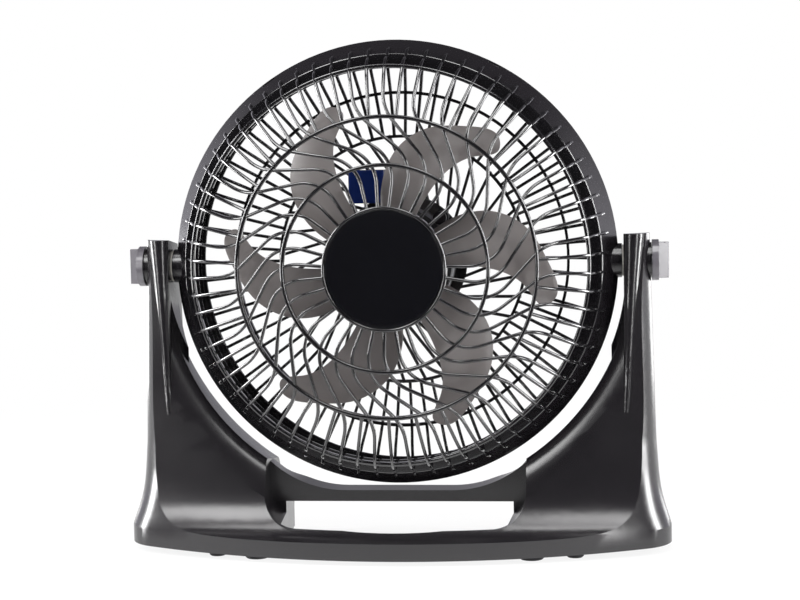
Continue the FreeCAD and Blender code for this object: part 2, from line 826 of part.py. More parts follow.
def bearing(face, inward):
    low, high = sorted((face, face + inward * bearing_length))
    return ring_y(bearing_radius, shaft_radius + fit_gap, low, high)


def motor_bolts():
    """Four bolts that clamp the brackets on the stack, each with its nut."""
    front = core_front - ear_thick
    back = core_back + ear_thick
    shank = round_y(bolt_radius, front, back + 3, bolt_circle)
    head = round_y(2 * bolt_radius, front - 2, front, bolt_circle)
    nut = round_y(2 * bolt_radius, back, back + 2, bolt_circle)
    return Part.makeCompound(around(fused([shank, head, nut]), 4, 45.0))


def motor_shaft():
    shaft = round_y(shaft_radius, shaft_front, shaft_back)
    return shaft.cut(round_x(pin_radius + fit_gap, -boss_outer, boss_outer, pin_y))


def rotor_core():
    return ring_y(rotor_radius, shaft_radius + fit_gap, core_front - 1, core_back + 1)


# Impeller
def blade_section(radius, angle, chord, pitch):
    """A thin cambered aerofoil across one blade, as a closed wire in a plane square to the radius."""
    out = polar(1, angle)
    centre = polar(radius, angle, blade_mid)
    tilt = math.radians(pitch)
    along = polar(1, angle + 90) * math.cos(tilt) + V(0, 1, 0) * math.sin(tilt)
    across = out.cross(along)
    edge = across * (blade_edge / 2)
    nose = centre + along * (chord / 2)
    tail = centre - along * (chord / 2)
    low = centre + across * (blade_camber * chord)
    top = Part.Arc(tail + edge, low + across * blade_thick, nose + edge).toShape()
    bottom = Part.Arc(nose - edge, low, tail - edge).toShape()
    nose_end = Part.makeLine(nose + edge, nose - edge)
    tail_end = Part.makeLine(tail - edge, tail + edge)
    return Part.Wire([top, nose_end, bottom, tail_end])


def blade():
    """One broad blade: lofted, twisted and swept, and trimmed to its rounded outline."""
    lofted = Part.makeLoft([blade_section(*station) for station in blade_stations], True)
    front = impeller_front - far_past
    trailing = [polar(radius, angle, front) for radius, angle, other in blade_plan]
    leading = [polar(radius, other, front) for radius, angle, other in blade_plan]
    outline = Part.BSplineCurve()
    outline.interpolate(trailing + [polar(*blade_tip, front)] + leading[::-1])
    root = Part.makeLine(leading[0], trailing[0])
    trim = Part.Face(Part.Wire([outline.toShape(), root])).extrude(V(0, -front, 0))
    return lofted.common(trim).cut(round_y(hub_radius - hub_wall / 2, front, 0))


def impeller():
    bore = shaft_radius + fit_gap
    hub = [(bore, impeller_front), (hub_radius - 5, impeller_front), (hub_radius, impeller_front + 5),
           (hub_radius, impeller_back), (hub_radius - hub_wall, impeller_back),
           (hub_radius - hub_wall, impeller_front + hub_wall), (boss_outer, impeller_front + hub_wall),
           (boss_outer, pin_y), (bore, pin_y)]
    whole = fused([turned(hub)] + around(blade(), blade_count, blade_phase))
    groove = round_x(pin_radius + fit_gap, -boss_outer - 1, boss_outer + 1, pin_y)
    return whole.cut(groove).removeSplitter()


def drive_pin():
    return round_x(pin_radius, -boss_outer, boss_outer, pin_y)


def impeller_nut():
    corners = [polar(nut_radius, 60.0 * i, impeller_front - nut_length) for i in range(6)]
    nut = Part.Face(Part.makePolygon(corners + corners[:1])).extrude(V(0, nut_length, 0))
    return nut.cut(round_y(shaft_radius + fit_gap, impeller_front - nut_length - 1, impeller_front + 1))


# Capacitor
def capacitor():
    x, y, z = capacitor_place
    wide, deep, high = capacitor_size
    can = box(x - wide / 2, x + wide / 2, y - deep / 2, y + deep / 2, z - high / 2, z + high / 2)
    return can.makeFillet(1.5, [e for e in can.Edges if abs(e.Vertexes[0].Y - e.Vertexes[1].Y) > 1])


def capacitor_clip():
    """Sheet-metal clip: a plate behind the can, and a foot on the motor plate."""
    x, y, z = capacitor_place
    wide, deep, high = capacitor_size
    back = y + deep / 2
    plate = box(x - wide / 2, x + wide / 2, back, back + capacitor_clip_thick, z - high / 2, z + high / 2)
    low = z - high / 2
    foot = box(clip_foot_x, clip_foot_x + clip_foot_width, back, bar_plate, low, low + capacitor_clip_thick)
    return plate.fuse(foot).removeSplitter()


# Rear cover and speed control
def motor_cover():
    """Cup over the switch, with three screw posts and a hole for the gland."""
    seat = bar_plate + bar_plate_thick
    skin = cover_back - cover_wall
    small = cover_radius - cover_taper
    outline = [(cover_radius - cover_wall, seat), (cover_radius, seat), (small, cover_back), (0, cover_back),
               (0, skin), (small - cover_wall, skin)]
    posts = around(round_y(post_radius, seat, skin, cover_screw_circle), 3, 90.0)
    cover = fused([turned(outline)] + posts)
    for copy in around(round_y(hole_radius, seat - past, cover_back + past, cover_screw_circle), 3, 90.0):
        cover = cover.cut(copy)
    cover = cover.cut(round_y(spindle_radius + slide_gap, skin - past, cover_back + past))
    low = V(0, gland_y, -cover_radius - past)
    return cover.cut(Part.makeCylinder(gland_neck_radius + fit_gap, gland_length + past, low))


def cable_gland():
    """The inlet for the supply cord: a neck through the cover and a flange outside it."""
    low = -cover_radius - gland_flange
    neck = Part.makeCylinder(gland_neck_radius, gland_length, V(0, gland_y, low))
    flange = Part.makeCylinder(gland_radius, gland_flange, V(0, gland_y, low))
    bore = Part.makeCylinder(gland_bore, gland_length + 2 * past, V(0, gland_y, low - past))
    return neck.fuse(flange).cut(bore).removeSplitter()


def speed_switch():
    wide, deep, high = switch_size
    back = cover_back - cover_wall
    body = box(-wide / 2, wide / 2, back - deep, back, -high / 2, high / 2)
    return body.cut(round_y(spindle_radius + fit_gap, back - deep - past, back + past))


def switch_spindle():
    back = cover_back - cover_wall
    return round_y(spindle_radius, back - switch_size[1], -base_front - knob_cap)


def speed_knob():
    """Round knob with a raised finger bar, on the switch spindle."""
    face = cover_back + speed_knob_gap
    end = -base_front
    mid = (face + end) / 2
    knob = turned([(0, face), (speed_knob_radius, face), (speed_knob_radius - 1, mid), (0, mid)])
    bar = box(-finger_bar / 2, finger_bar / 2, mid - 1, end, -speed_knob_radius + 2, speed_knob_radius - 2)
    knob = knob.fuse(bar).removeSplitter()
    return knob.cut(round_y(spindle_radius + fit_gap, face - 1, end - knob_cap))


# Tilt pivots, modelled on the right and mirrored to the left
def pivot_insert():
    insert = round_x(insert_radius, insert_start, insert_start + insert_length)
    return insert.cut(round_x(stud_shaft_radius + fit_gap, insert_start - past, boss_face + past))


def pivot_washer():
    washer = round_x(washer_radius, boss_face + washer_gap, boss_face + washer_gap + washer_thick)
    return washer.cut(round_x(stud_shaft_radius + slide_gap, boss_face - past, arm_inner + past))


def clamp_stud():
    return round_x(stud_shaft_radius, insert_start + 1, knob_face + knob_flange_thick)


def tilt_knob():
    """Round flange against the arm and a flat grip across it."""
    flange_end = knob_face + knob_flange_thick
    flange = round_x(knob_flange_radius, knob_face, flange_end)
    half_thick = knob_grip_thick / 2
    half_high = knob_grip_height / 2
    grip = box(knob_face + past, knob_tip, -half_thick, half_thick, -half_high, half_high)
    knob = flange.fuse(grip).removeSplitter()
    return knob.cut(round_x(stud_shaft_radius + fit_gap, knob_face - past, flange_end))


def build():
    plate_back = bar_plate + bar_plate_thick
    front_pads = [(foot_pad_x, -foot_pad_y), (-foot_pad_x, -foot_pad_y)]
    rear_pads = [(foot_pad_x, rear_pad_y), (-foot_pad_x, rear_pad_y)]
    studs = [(stud_x, -stud_y), (-stud_x, -stud_y)]
    nodes = {
        "base_shell": base_shell(),
        "front_feet": rubber_pads(front_pads, foot_pad_radius),
        "rear_feet": rubber_pads(rear_pads, foot_pad_radius),
        "front_studs": rubber_pads(studs, stud_radius),
    }
    head = {
        "rear_housing": rear_housing(),
        "front_grille": front_grille(),
        "hub_disc": hub_disc(),
        "rear_grille": rear_grille(),
        "grille_screws": screw_group(grille_screw_circle, grille_screw_count, grille_screw_phase,
                                     drum_back + bar_plate_thick, drum_back - drum_wall),
        "motor_front_bracket": motor_bracket(motor_front, core_front, 1).removeSplitter(),
        "motor_rear_bracket": motor_rear_bracket(),
        "stator_core": stator_core(),
        "stator_windings": stator_windings(),
        "front_bearing": bearing(motor_front, 1),
        "rear_bearing": bearing(motor_back, -1),
        "motor_bolts": motor_bolts(),
        "motor_screws": screw_group(motor_screw_circle, 4, 45.0, plate_back, motor_back - motor_wall),
        "motor_shaft": motor_shaft(),
        "rotor_core": rotor_core(),
        "impeller": impeller(),
        "drive_pin": drive_pin(),
        "impeller_nut": impeller_nut(),
        "capacitor": capacitor(),
        "capacitor_clip": capacitor_clip(),
        "motor_cover": motor_cover(),
        "cover_screws": screw_group(cover_screw_circle, 3, 90.0, cover_back, bar_plate + 1),
        "cable_gland": cable_gland(),
        "speed_switch": speed_switch(),
        "switch_spindle": switch_spindle(),
        "speed_knob": speed_knob(),
    }
    for name, make in (("pivot_insert", pivot_insert), ("pivot_washer", pivot_washer),
                       ("clamp_stud", clamp_stud), ("tilt_knob", tilt_knob)):
        head[name + "_right"], head[name + "_left"] = both_sides(make())
    for name, shape in head.items():
        nodes[name] = lift(shape)
    return nodes


if __name__ == "__main__":
    os.makedirs("parts", exist_ok=True)
    for name, shape in build().items():
        shape.exportStep("parts/" + name + ".step")
        print(name, len(shape.Solids), "solids, volume", round(shape.Volume), "mm3, valid", shape.isValid())
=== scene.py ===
# %% [markdown]
# A floor fan in satin black plastic
# The fan has a round head that tilts between the two arms of a moulded base. The rigid frame comes
# ready made, each rigid piece in its place, so this lesson is about finish: finer shapes where the
# eye rests, such as the curved ribs of the front guard, and a procedural material on every piece.

# %% Load the frame
import bpy
import bmesh
import json
import math
from mathutils import Matrix, Vector

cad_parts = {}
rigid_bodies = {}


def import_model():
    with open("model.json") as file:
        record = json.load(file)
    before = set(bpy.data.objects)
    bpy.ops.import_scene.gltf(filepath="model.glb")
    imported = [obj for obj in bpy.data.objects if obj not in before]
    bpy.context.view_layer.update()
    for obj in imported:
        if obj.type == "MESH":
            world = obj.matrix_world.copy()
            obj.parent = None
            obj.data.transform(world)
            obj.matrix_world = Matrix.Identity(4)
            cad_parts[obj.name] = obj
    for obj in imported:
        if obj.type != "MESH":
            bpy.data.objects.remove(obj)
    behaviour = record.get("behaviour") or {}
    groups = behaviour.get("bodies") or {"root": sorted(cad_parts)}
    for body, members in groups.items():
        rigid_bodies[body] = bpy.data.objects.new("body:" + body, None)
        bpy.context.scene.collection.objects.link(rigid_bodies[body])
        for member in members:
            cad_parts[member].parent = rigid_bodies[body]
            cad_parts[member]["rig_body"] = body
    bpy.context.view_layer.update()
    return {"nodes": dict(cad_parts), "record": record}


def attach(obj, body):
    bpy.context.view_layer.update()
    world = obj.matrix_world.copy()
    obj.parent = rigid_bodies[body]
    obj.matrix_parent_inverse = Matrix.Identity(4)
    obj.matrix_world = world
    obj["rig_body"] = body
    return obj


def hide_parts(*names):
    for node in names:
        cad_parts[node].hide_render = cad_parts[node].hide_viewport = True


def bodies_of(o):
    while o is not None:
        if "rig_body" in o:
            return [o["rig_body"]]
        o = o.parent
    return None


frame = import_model()
nodes = frame["nodes"]
scene = bpy.context.scene
scene.view_settings.view_transform = "Standard"
MM = 0.001
AXLE_HEIGHT = 0.211

# %% [markdown]
# The camera
# The picture was taken from the front, a little to the right of the middle and a little above it,
# with a long lens. The distance shows in how far the hub sits off the centre of the drum. The
# picture is also turned by about one degree, so the camera rolls with it. The camera could be
# dragged into place by eye, but angles and a distance round one target are easier to fit one at a
# time.

# %% Camera
CAMERA_AZIMUTH = 6.66
CAMERA_ELEVATION = 4.67
CAMERA_ROLL = -1.15
CAMERA_DISTANCE = 1.375
CAMERA_LENS = 82.7
CAMERA_SENSOR = 36.0
CAMERA_TARGET = Vector((0.0017, 0.0092, 0.1827))


def aim_camera():
    azimuth = math.radians(CAMERA_AZIMUTH)
    elevation = math.radians(CAMERA_ELEVATION)
    roll = math.radians(CAMERA_ROLL)
    flat = math.cos(elevation)
    back = Vector((math.sin(azimuth) * flat, -math.cos(azimuth) * flat, math.sin(elevation)))
    right = Vector((0, 0, 1)).cross(back).normalized()
    up = back.cross(right)
    turned_right = right * math.cos(roll) + up * math.sin(roll)
    turned_up = up * math.cos(roll) - right * math.sin(roll)
    data = bpy.data.cameras.new("photo_camera")
    data.lens = CAMERA_LENS
    data.sensor_width = CAMERA_SENSOR
    camera = bpy.data.objects.new("photo_camera", data)
    axes = Matrix((turned_right, turned_up, back)).transposed()
    camera.matrix_world = Matrix.Translation(CAMERA_TARGET + back * CAMERA_DISTANCE) @ axes.to_4x4()
    scene.collection.objects.link(camera)
    scene.camera = camera
    return camera


camera = aim_camera()
print("camera at", [round(v, 3) for v in camera.location])

# %% [markdown]
# Nodes in short
# Worlds, materials and shapes are all node trees here. In the editor a node is placed, set and
# wired by hand. In a script that would be many lines for each, so one helper adds a node, sets the
# plain values on its sockets and links the rest, and each tree reads as a list of what feeds what.

# %% Node helpers


def new_tree(owner):
    """The emptied node tree of a world or a material."""
    owner.use_nodes = True
    tree = owner.node_tree
    tree.nodes.clear()
    return tree


def add(tree, kind, inputs=None, **settings):
    """A new node. A plain value is set on the input it names, and a socket is linked to it."""
    node = tree.nodes.new(kind)
    for name, value in settings.items():
        setattr(node, name, value)
    for name, value in (inputs or {}).items():
        if isinstance(value, bpy.types.NodeSocket):
            tree.links.new(value, node.inputs[name])
        else:
            node.inputs[name].default_value = value
    return node


def math_node(tree, operation, *values):
    return add(tree, "ShaderNodeMath", dict(enumerate(values)), operation=operation).outputs[0]


def mix(tree, share, one, other):
    return add(tree, "ShaderNodeMix", {"Factor": share, "A": one, "B": other}).outputs[0]


def axes_of(tree, vector):
    return add(tree, "ShaderNodeSeparateXYZ", {0: vector}).outputs


def ramp(tree, value, start, end, low=0.0, high=1.0):
    """A smooth step from low, where the value is at start, to high, where it is at end."""
    inputs = {"Value": value, "From Min": start, "From Max": end, "To Min": low, "To Max": high}
    return add(tree, "ShaderNodeMapRange", inputs, interpolation_type="SMOOTHSTEP").outputs["Result"]


print("node helpers ready")

# %% [markdown]
# The studio
# Black plastic shows little colour of its own. What the eye reads is what it reflects, so the room
# matters as much as the material. Real walls could be modelled, but a world that answers by
# direction does the same and is easier to tune. In reflections it is white beside the fan, grey
# behind it, and dark in front and above, which keeps the faces black. The floor is white paper,
# dark in reflections where it lies in front of the fan. To the camera the room is plain white.

# %% World
WHITE = (1, 1, 1, 1)
LILAC = (0.93, 0.91, 1.0, 1)
EVEN_LIGHT = 0.28
# how bright the room is in reflections
BACK_WALL = 0.5
SIDE_WALL = 1.0
CEILING = 0.04
DARKEST = 0.02
# the stretch of a direction's X, Y or Z in which one level turns into the other
SIDE_SPAN = (0.35, 0.8)
FRONT_SPAN = (-0.5, 0.1)
CEILING_SPAN = (0.0, 0.7)


def ray_kinds(tree):
    """Masks for rays that meet plain white, of the camera or through glass, and for mirrored rays."""
    path = add(tree, "ShaderNodeLightPath").outputs
    plain = math_node(tree, "MAXIMUM", path["Is Camera Ray"], path["Is Transmission Ray"])
    return plain, path["Is Glossy Ray"]


def studio_world():
    """A dim even light, and a room for reflections: white beside, grey behind, dark in front and above."""
    world = bpy.data.worlds.new("studio")
    scene.world = world
    tree = new_tree(world)
    way = axes_of(tree, add(tree, "ShaderNodeTexCoord").outputs["Generated"])
    beside = ramp(tree, math_node(tree, "ABSOLUTE", way["X"]), *SIDE_SPAN, BACK_WALL, SIDE_WALL)
    behind = ramp(tree, way["Y"], *FRONT_SPAN)
    low = ramp(tree, way["Z"], *CEILING_SPAN, 1.0, CEILING)
    walls = math_node(tree, "MULTIPLY", math_node(tree, "MULTIPLY", beside, behind), low)
    room = math_node(tree, "ADD", walls, DARKEST)
    plain, glossy = ray_kinds(tree)
    strength = mix(tree, plain, mix(tree, glossy, EVEN_LIGHT, room), 1.0)
    tint = add(tree, "ShaderNodeMix", {"Factor": plain, 6: LILAC, 7: WHITE}, data_type="RGBA").outputs[2]
    light = add(tree, "ShaderNodeBackground", {"Color": tint, "Strength": strength})
    add(tree, "ShaderNodeOutputWorld", {"Surface": light.outputs[0]})


studio_world()
print("world", scene.world.name)

# %% Floor
PAPER = (0.9, 0.9, 0.9, 1)
TABLE_LIGHT = 1.0
GLOW_NEARBY = 0.88
# in metres
FLOOR_REACH = 6.0
TABLE_SPAN = (-0.45, -0.1)
SHADOW_SPAN = (0.25, 0.9)


def studio_floor():
    """White paper that keeps a soft shadow near the fan and fades into the room further out."""
    mesh = bpy.data.meshes.new("floor")
    corners = [(x * FLOOR_REACH, y * FLOOR_REACH, 0) for x, y in ((-1, -1), (1, -1), (1, 1), (-1, 1))]
    mesh.from_pydata(corners, [], [(0, 1, 2, 3)])
    floor = bpy.data.objects.new("floor", mesh)
    scene.collection.objects.link(floor)
    material = bpy.data.materials.new("floor_white")
    tree = new_tree(material)
    place = add(tree, "ShaderNodeTexCoord").outputs["Object"]
    away = add(tree, "ShaderNodeVectorMath", {0: place}, operation="LENGTH").outputs["Value"]
    plain, glossy = ray_kinds(tree)
    seen = math_node(tree, "MAXIMUM", plain, glossy)
    share = math_node(tree, "MULTIPLY", seen, ramp(tree, away, *SHADOW_SPAN, GLOW_NEARBY, 1.0))
    mirrored = ramp(tree, axes_of(tree, place)["Y"], *TABLE_SPAN, 0.0, TABLE_LIGHT)
    paper = add(tree, "ShaderNodeBsdfDiffuse", {"Color": PAPER})
    glow = add(tree, "ShaderNodeEmission", {"Strength": mix(tree, glossy, 1.0, mirrored)})
    both = add(tree, "ShaderNodeMixShader", {0: share, 1: paper.outputs[0], 2: glow.outputs[0]})
    add(tree, "ShaderNodeOutputMaterial", {"Surface": both.outputs[0]})
    mesh.materials.append(material)


studio_floor()
print("floor", 2 * FLOOR_REACH, "m wide")

# %% [markdown]
# Soft lights
# Large soft lamps give the long reflections that draw a black shape. They could be glowing panels,
# but area lights render with less noise and can be hidden from the camera. Two keys and a box above
# light the faces. A narrow strip on each side in front draws bright lines along the ribs. A tall
# box beside the fan lights the edges of the base and the drum, and a small low one behind it
# touches them from the back.

# %% Lamps
FAN_HEAD = Vector((0, 0, 0.21))
# name, place, width and height, watts
LAMPS = (
    ("left_key", (-0.62, -1.0, 1.35), (0.55, 0.6), 9),
    ("right_key", (0.34, -0.8, 1.42), (0.5, 0.5), 5),
    ("top_softbox", (0.0, -0.35, 1.7), (1.3, 0.4), 9),
    ("left_strip", (-1.12, -1.18, 0.4), (0.22, 1.1), 8),
    ("right_strip", (1.08, -1.24, 0.4), (0.22, 1.1), 9),
    ("left_softbox", (-1.3, -0.12, 0.45), (0.35, 1.2), 30),
    ("left_back_softbox", (-0.75, 0.85, 0.12), (0.4, 0.3), 1.6),
    ("right_softbox", (1.3, -0.12, 0.45), (0.35, 1.2), 25),
    ("right_back_softbox", (0.75, 0.85, 0.12), (0.4, 0.3), 1.6),
)


def soft_light(name, place, size, power):
    """An area light that faces the fan's head and that the camera doesn't see."""
    data = bpy.data.lights.new(name, "AREA")
    data.shape = "RECTANGLE"
    data.size, data.size_y = size
    data.energy = power
    light = bpy.data.objects.new(name, data)
    light.location = place
    light.rotation_euler = (FAN_HEAD - Vector(place)).to_track_quat("-Z", "Y").to_euler()
    light.visible_camera = False
    scene.collection.objects.link(light)


for lamp in LAMPS:
    soft_light(*lamp)

# %% [markdown]
# Grain for moulded plastic
# Satin mouldings come from a spark-eroded tool, which leaves a fine leathery grain. A picture of it
# could be wrapped round each piece, but noise has no seams. Two sizes make it: a fine one for the
# grain itself, and a broad, weak one for the unevenness that lets reflections swim a little.
# Several plastics share it, so it is a node group with its own values in each material.

# %% Grain group
FLOAT = "NodeSocketFloat"
COLOUR = "NodeSocketColor"


def new_group(name, kind, inputs, outputs):
    """A node group with inputs (label, kind, value) and outputs (label, kind), and its input sockets."""
    group = bpy.data.node_groups.new(name, kind)
    for label, socket_kind, value in inputs:
        made = group.interface.new_socket(name=label, in_out="INPUT", socket_type=socket_kind)
        if value is not None:
            made.default_value = value
    for label, socket_kind in outputs:
        group.interface.new_socket(name=label, in_out="OUTPUT", socket_type=socket_kind)
    return group, add(group, "NodeGroupInput").outputs


def moulded_grain():
    inputs = (("Grain Scale", FLOAT, 1500.0), ("Roughness", FLOAT, 0.4), ("Roughness Spread", FLOAT, 0.08),
              ("Colour", COLOUR, None), ("Colour Spread", FLOAT, 0.15))
    outputs = (("Colour", COLOUR), ("Roughness", FLOAT), ("Height", FLOAT))
    group, given = new_group("moulded_grain", "ShaderNodeTree", inputs, outputs)
    place = add(group, "ShaderNodeTexCoord").outputs["Object"]
    fine = add(group, "ShaderNodeTexNoise", {"Vector": place, "Scale": given["Grain Scale"], "Detail": 2.0})
    broad = add(group, "ShaderNodeTexNoise", {"Vector": place, "Scale": 22.0, "Detail": 3.0})
    both_ways = {"Value": broad.outputs["Fac"], "To Min": -1.0, "To Max": 1.0}
    spread = add(group, "ShaderNodeMapRange", both_ways).outputs["Result"]
    rough = math_node(group, "MULTIPLY_ADD", spread, given["Roughness Spread"], given["Roughness"])
    shade = math_node(group, "MULTIPLY_ADD", spread, given["Colour Spread"], 1.0)
    tone = add(group, "ShaderNodeVectorMath", {0: given["Colour"], "Scale": shade}, operation="SCALE")
    gives = {"Colour": tone.outputs[0], "Roughness": rough, "Height": fine.outputs["Fac"]}
    add(group, "NodeGroupOutput", gives)
    return group


GRAIN = moulded_grain()
print("shader group", GRAIN.name)

# %% [markdown]
# Lines on metal
# Turned bar, rolled sheet and wound wire all carry fine parallel lines. They are far too small to
# model, and show only as a stretched glint. Noise that is stretched along one axis gives that, and
# the metals share it as a second group.

# %% Line group


def drawn_lines():
    inputs = (("Stretch", "NodeSocketVector", (40.0, 4000.0, 40.0)), ("Roughness", FLOAT, 0.3),
              ("Spread", FLOAT, 0.15))
    outputs = (("Roughness", FLOAT), ("Height", FLOAT))
    group, given = new_group("drawn_lines", "ShaderNodeTree", inputs, outputs)
    place = add(group, "ShaderNodeTexCoord").outputs["Object"]
    stretch = add(group, "ShaderNodeVectorMath", {0: place, 1: given["Stretch"]}, operation="MULTIPLY")
    noise = add(group, "ShaderNodeTexNoise", {"Vector": stretch.outputs[0], "Scale": 1.0, "Detail": 2.0})
    rough = math_node(group, "MULTIPLY_ADD", noise.outputs["Fac"], given["Spread"], given["Roughness"])
    add(group, "NodeGroupOutput", {"Roughness": rough, "Height": noise.outputs["Fac"]})
    return group


LINES = drawn_lines()
print("shader group", LINES.name)

# %% [markdown]
# Plastics, rubber and metal
# The fan is mostly black plastic in several glosses, with rubber feet, and with metal in the motor
# and the pivots. Each could have a tree of its own, but they differ only in colour, gloss and
# grain, so one function makes every moulded or enamelled surface and another every bare metal.
# What is the same all over a surface, such as the coat on the guard, is set on the shader itself,
# where the export can read it.

# %% Plastics
COLOUR_SPREAD = 0.12
GRAIN_DEPTH = 0.04 * MM


def close_surface(tree, skin, height, depth, strength):
    """Ends a material: one shader with these inputs and a fine relief."""
    relief = add(tree, "ShaderNodeBump", {"Height": height, "Distance": depth, "Strength": strength})
    shader = add(tree, "ShaderNodeBsdfPrincipled", skin | {"Normal": relief.outputs[0]})
    add(tree, "ShaderNodeOutputMaterial", {"Surface": shader.outputs[0]})


def moulded(name, colour, roughness, spread=0.05, grain=1500.0, strength=0.2, shine=0.5, coat=0.0):
    """A plastic, rubber or enamel, from satin to gloss, with a fine grain."""
    material = bpy.data.materials.new(name)
    tree = new_tree(material)
    values = {"Colour": (*colour, 1), "Colour Spread": COLOUR_SPREAD, "Roughness": roughness,
              "Roughness Spread": spread, "Grain Scale": grain}
    grained = add(tree, "ShaderNodeGroup", values, node_tree=GRAIN).outputs
    skin = {"Base Color": grained["Colour"], "Roughness": grained["Roughness"],
            "Specular IOR Level": shine, "Coat Weight": coat}
    close_surface(tree, skin, grained["Height"], GRAIN_DEPTH, strength)
    return material


print("plastics have a grain of", GRAIN_DEPTH, "m")

# %% Metals
LINE_SPREAD = 0.15
LINE_STRENGTH = 0.3


def metal(name, colour, roughness, stretch, depth=0.03 * MM):
    """A bare metal. The stretch says which way its fine lines run."""
    material = bpy.data.materials.new(name)
    tree = new_tree(material)
    values = {"Stretch": stretch, "Roughness": roughness, "Spread": LINE_SPREAD}
    lined = add(tree, "ShaderNodeGroup", values, node_tree=LINES).outputs
    skin = {"Base Color": (*colour, 1), "Metallic": 1.0, "Roughness": lined["Roughness"]}
    close_surface(tree, skin, lined["Height"], depth, LINE_STRENGTH)
    return material


print("metals have lines of strength", LINE_STRENGTH)

# %% Finishes
finish = {
    "shell_plastic": moulded("satin_shell", (0.0085, 0.0075, 0.009), 0.24, strength=0.1, shine=0.85),
    "grille_plastic": moulded("satin_guard", (0.007, 0.0065, 0.0075), 0.12, grain=1800.0, strength=0.08,
                              shine=1.0, coat=1.0),
    "disc_plastic": moulded("gloss_disc", (0.004, 0.004, 0.005), 0.06, spread=0.01, strength=0.02),
    "blade_plastic": moulded("satin_blade", (0.130, 0.117, 0.113), 0.40),
    "knob_plastic": moulded("satin_knob", (0.085, 0.080, 0.090), 0.22, shine=0.95),
    "foot_rubber": moulded("foot_rubber", (0.020, 0.020, 0.022), 0.75, grain=900.0, strength=0.5),
    "capacitor_plastic": moulded("blue_case", (0.006, 0.022, 0.14), 0.22, strength=0.1),
    "washer_plastic": moulded("natural_nylon", (0.55, 0.53, 0.48), 0.45),
    "switch_plastic": moulded("dark_insulator", (0.03, 0.03, 0.03), 0.5),
    "motor_metal": moulded("baked_enamel", (0.016, 0.016, 0.018), 0.33, grain=700.0),
    "screw_steel": metal("blackened_screw", (0.09, 0.09, 0.10), 0.32, (900.0, 900.0, 900.0)),
    "steel": metal("plain_steel", (0.52, 0.52, 0.54), 0.25, (60.0, 2500.0, 60.0)),
    "laminations": metal("stacked_sheet", (0.30, 0.30, 0.32), 0.35, (20.0, 2000.0, 20.0), 0.1 * MM),
    "copper": metal("varnished_wire", (0.52, 0.20, 0.07), 0.28, (300.0, 1800.0, 300.0), 0.2 * MM),
    "brass_insert": metal("turned_brass", (0.70, 0.50, 0.20), 0.25, (2500.0, 60.0, 60.0)),
}
print("materials", sorted(finish))

# %% [markdown]
# Dressing the frame
# Every node of the frame names its material slot in the record, so one loop gives each its finish.
# Screws and bolts share the slot of plain steel, but on such a fan they are blackened, so they are
# told apart by name. The mesh of a node is never changed. Where a softer edge is needed, a copy
# stands in for it.

# %% Materials on the frame
slot_of = {row["node"]: row["material_slot"] for row in frame["record"]["subparts"]}
BLACKENED = ("grille_screws", "cover_screws", "motor_screws", "motor_bolts")


def finish_of(name):
    return finish["screw_steel" if name in BLACKENED else slot_of[name]]


for name, node in nodes.items():
    node.data.materials.clear()
    node.data.materials.append(finish_of(name))
print("dressed", len(slot_of), "nodes")

# %% [markdown]
# Softer copies
# A moulding has no knife edges: every corner is rounded a little and catches a line of light. The
# corners could be rounded in the shader alone, but a real bevel is there in the mesh too.
# The nodes of the frame are loose triangles, so a copy is merged, its flat areas are joined, its
# sharp edges get a bevel of less than a millimetre, and then it stands in for the node. Three
# copies are also shifted a little on the way: the grips of the two tilt knobs get thinner towards
# their ends, and the flat ledge at the front of the drum is tilted.

# %% Copies that stand in for nodes
SAME_POINT = 0.002 * MM
SAME_PLANE = math.radians(0.3)


def body_of(name):
    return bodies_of(nodes[name])[0]


def stand_in(piece_name, mesh, node_name):
    """Shows a mesh in place of a node, on the node's body and with its finish."""
    mesh.materials.clear()
    mesh.materials.append(finish_of(node_name))
    piece = bpy.data.objects.new(piece_name, mesh)
    scene.collection.objects.link(piece)
    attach(piece, body_of(node_name))
    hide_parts(node_name)
    return piece


def merged(name, shift=None):
    """A node's mesh with its corners joined, its points shifted, and its flat areas made single faces."""
    work = bmesh.new()
    work.from_mesh(nodes[name].data)
    bmesh.ops.remove_doubles(work, verts=work.verts, dist=SAME_POINT)
    if shift:
        for vert in work.verts:
            shift(vert.co)
    bmesh.ops.dissolve_limit(work, angle_limit=SAME_PLANE, verts=work.verts, edges=work.edges)
    work.verts.index_update()
    mesh = bpy.data.meshes.new(name + "_copy")
    corners = [[v.index for v in face.verts] for face in work.faces]
    mesh.from_pydata([v.co for v in work.verts], [], corners)
    work.free()
    return mesh


print("points closer than", SAME_POINT, "m are joined")

# %% Small shifts
GRIP_TAPER = 0.55
LEDGE_SLOPE = 1.5
# in metres
GRIP_SPAN = (0.192, 0.2005)
LEDGE_BACK = 0.0165
LEDGE_FRONT = 0.018
LEDGE_OUTER = 0.156


def ease(value, start, end):
    """A smooth share from 0, where the value is at start, to 1, where it is at end."""
    share = min(max((value - start) / (end - start), 0.0), 1.0)
    return share * share * (3 - 2 * share)


def from_axle(place):
    """The distance from the fan's axis."""
    return math.hypot(place.x, place.z - AXLE_HEIGHT)


def taper_grip(place):
    """Thins a tilt knob's grip towards its end, so that its faces turn a little outwards."""
    place.y *= 1 - GRIP_TAPER * ease(abs(place.x), *GRIP_SPAN)


def slope_ledge(place):
    """Tilts the flat ledge at the front of the drum, so that the taper runs on to the guard."""
    if LEDGE_BACK < -place.y < LEDGE_FRONT:
        place.y -= max(LEDGE_OUTER - from_axle(place), 0.0) * LEDGE_SLOPE


SHIFTS = {"tilt_knob_left": taper_grip, "tilt_knob_right": taper_grip, "rear_housing": slope_ledge}
print("shifted", sorted(SHIFTS))

# %% Rounded copies of the mouldings
BEVEL_STEPS = 2
BEVEL_ANGLE = math.radians(30)
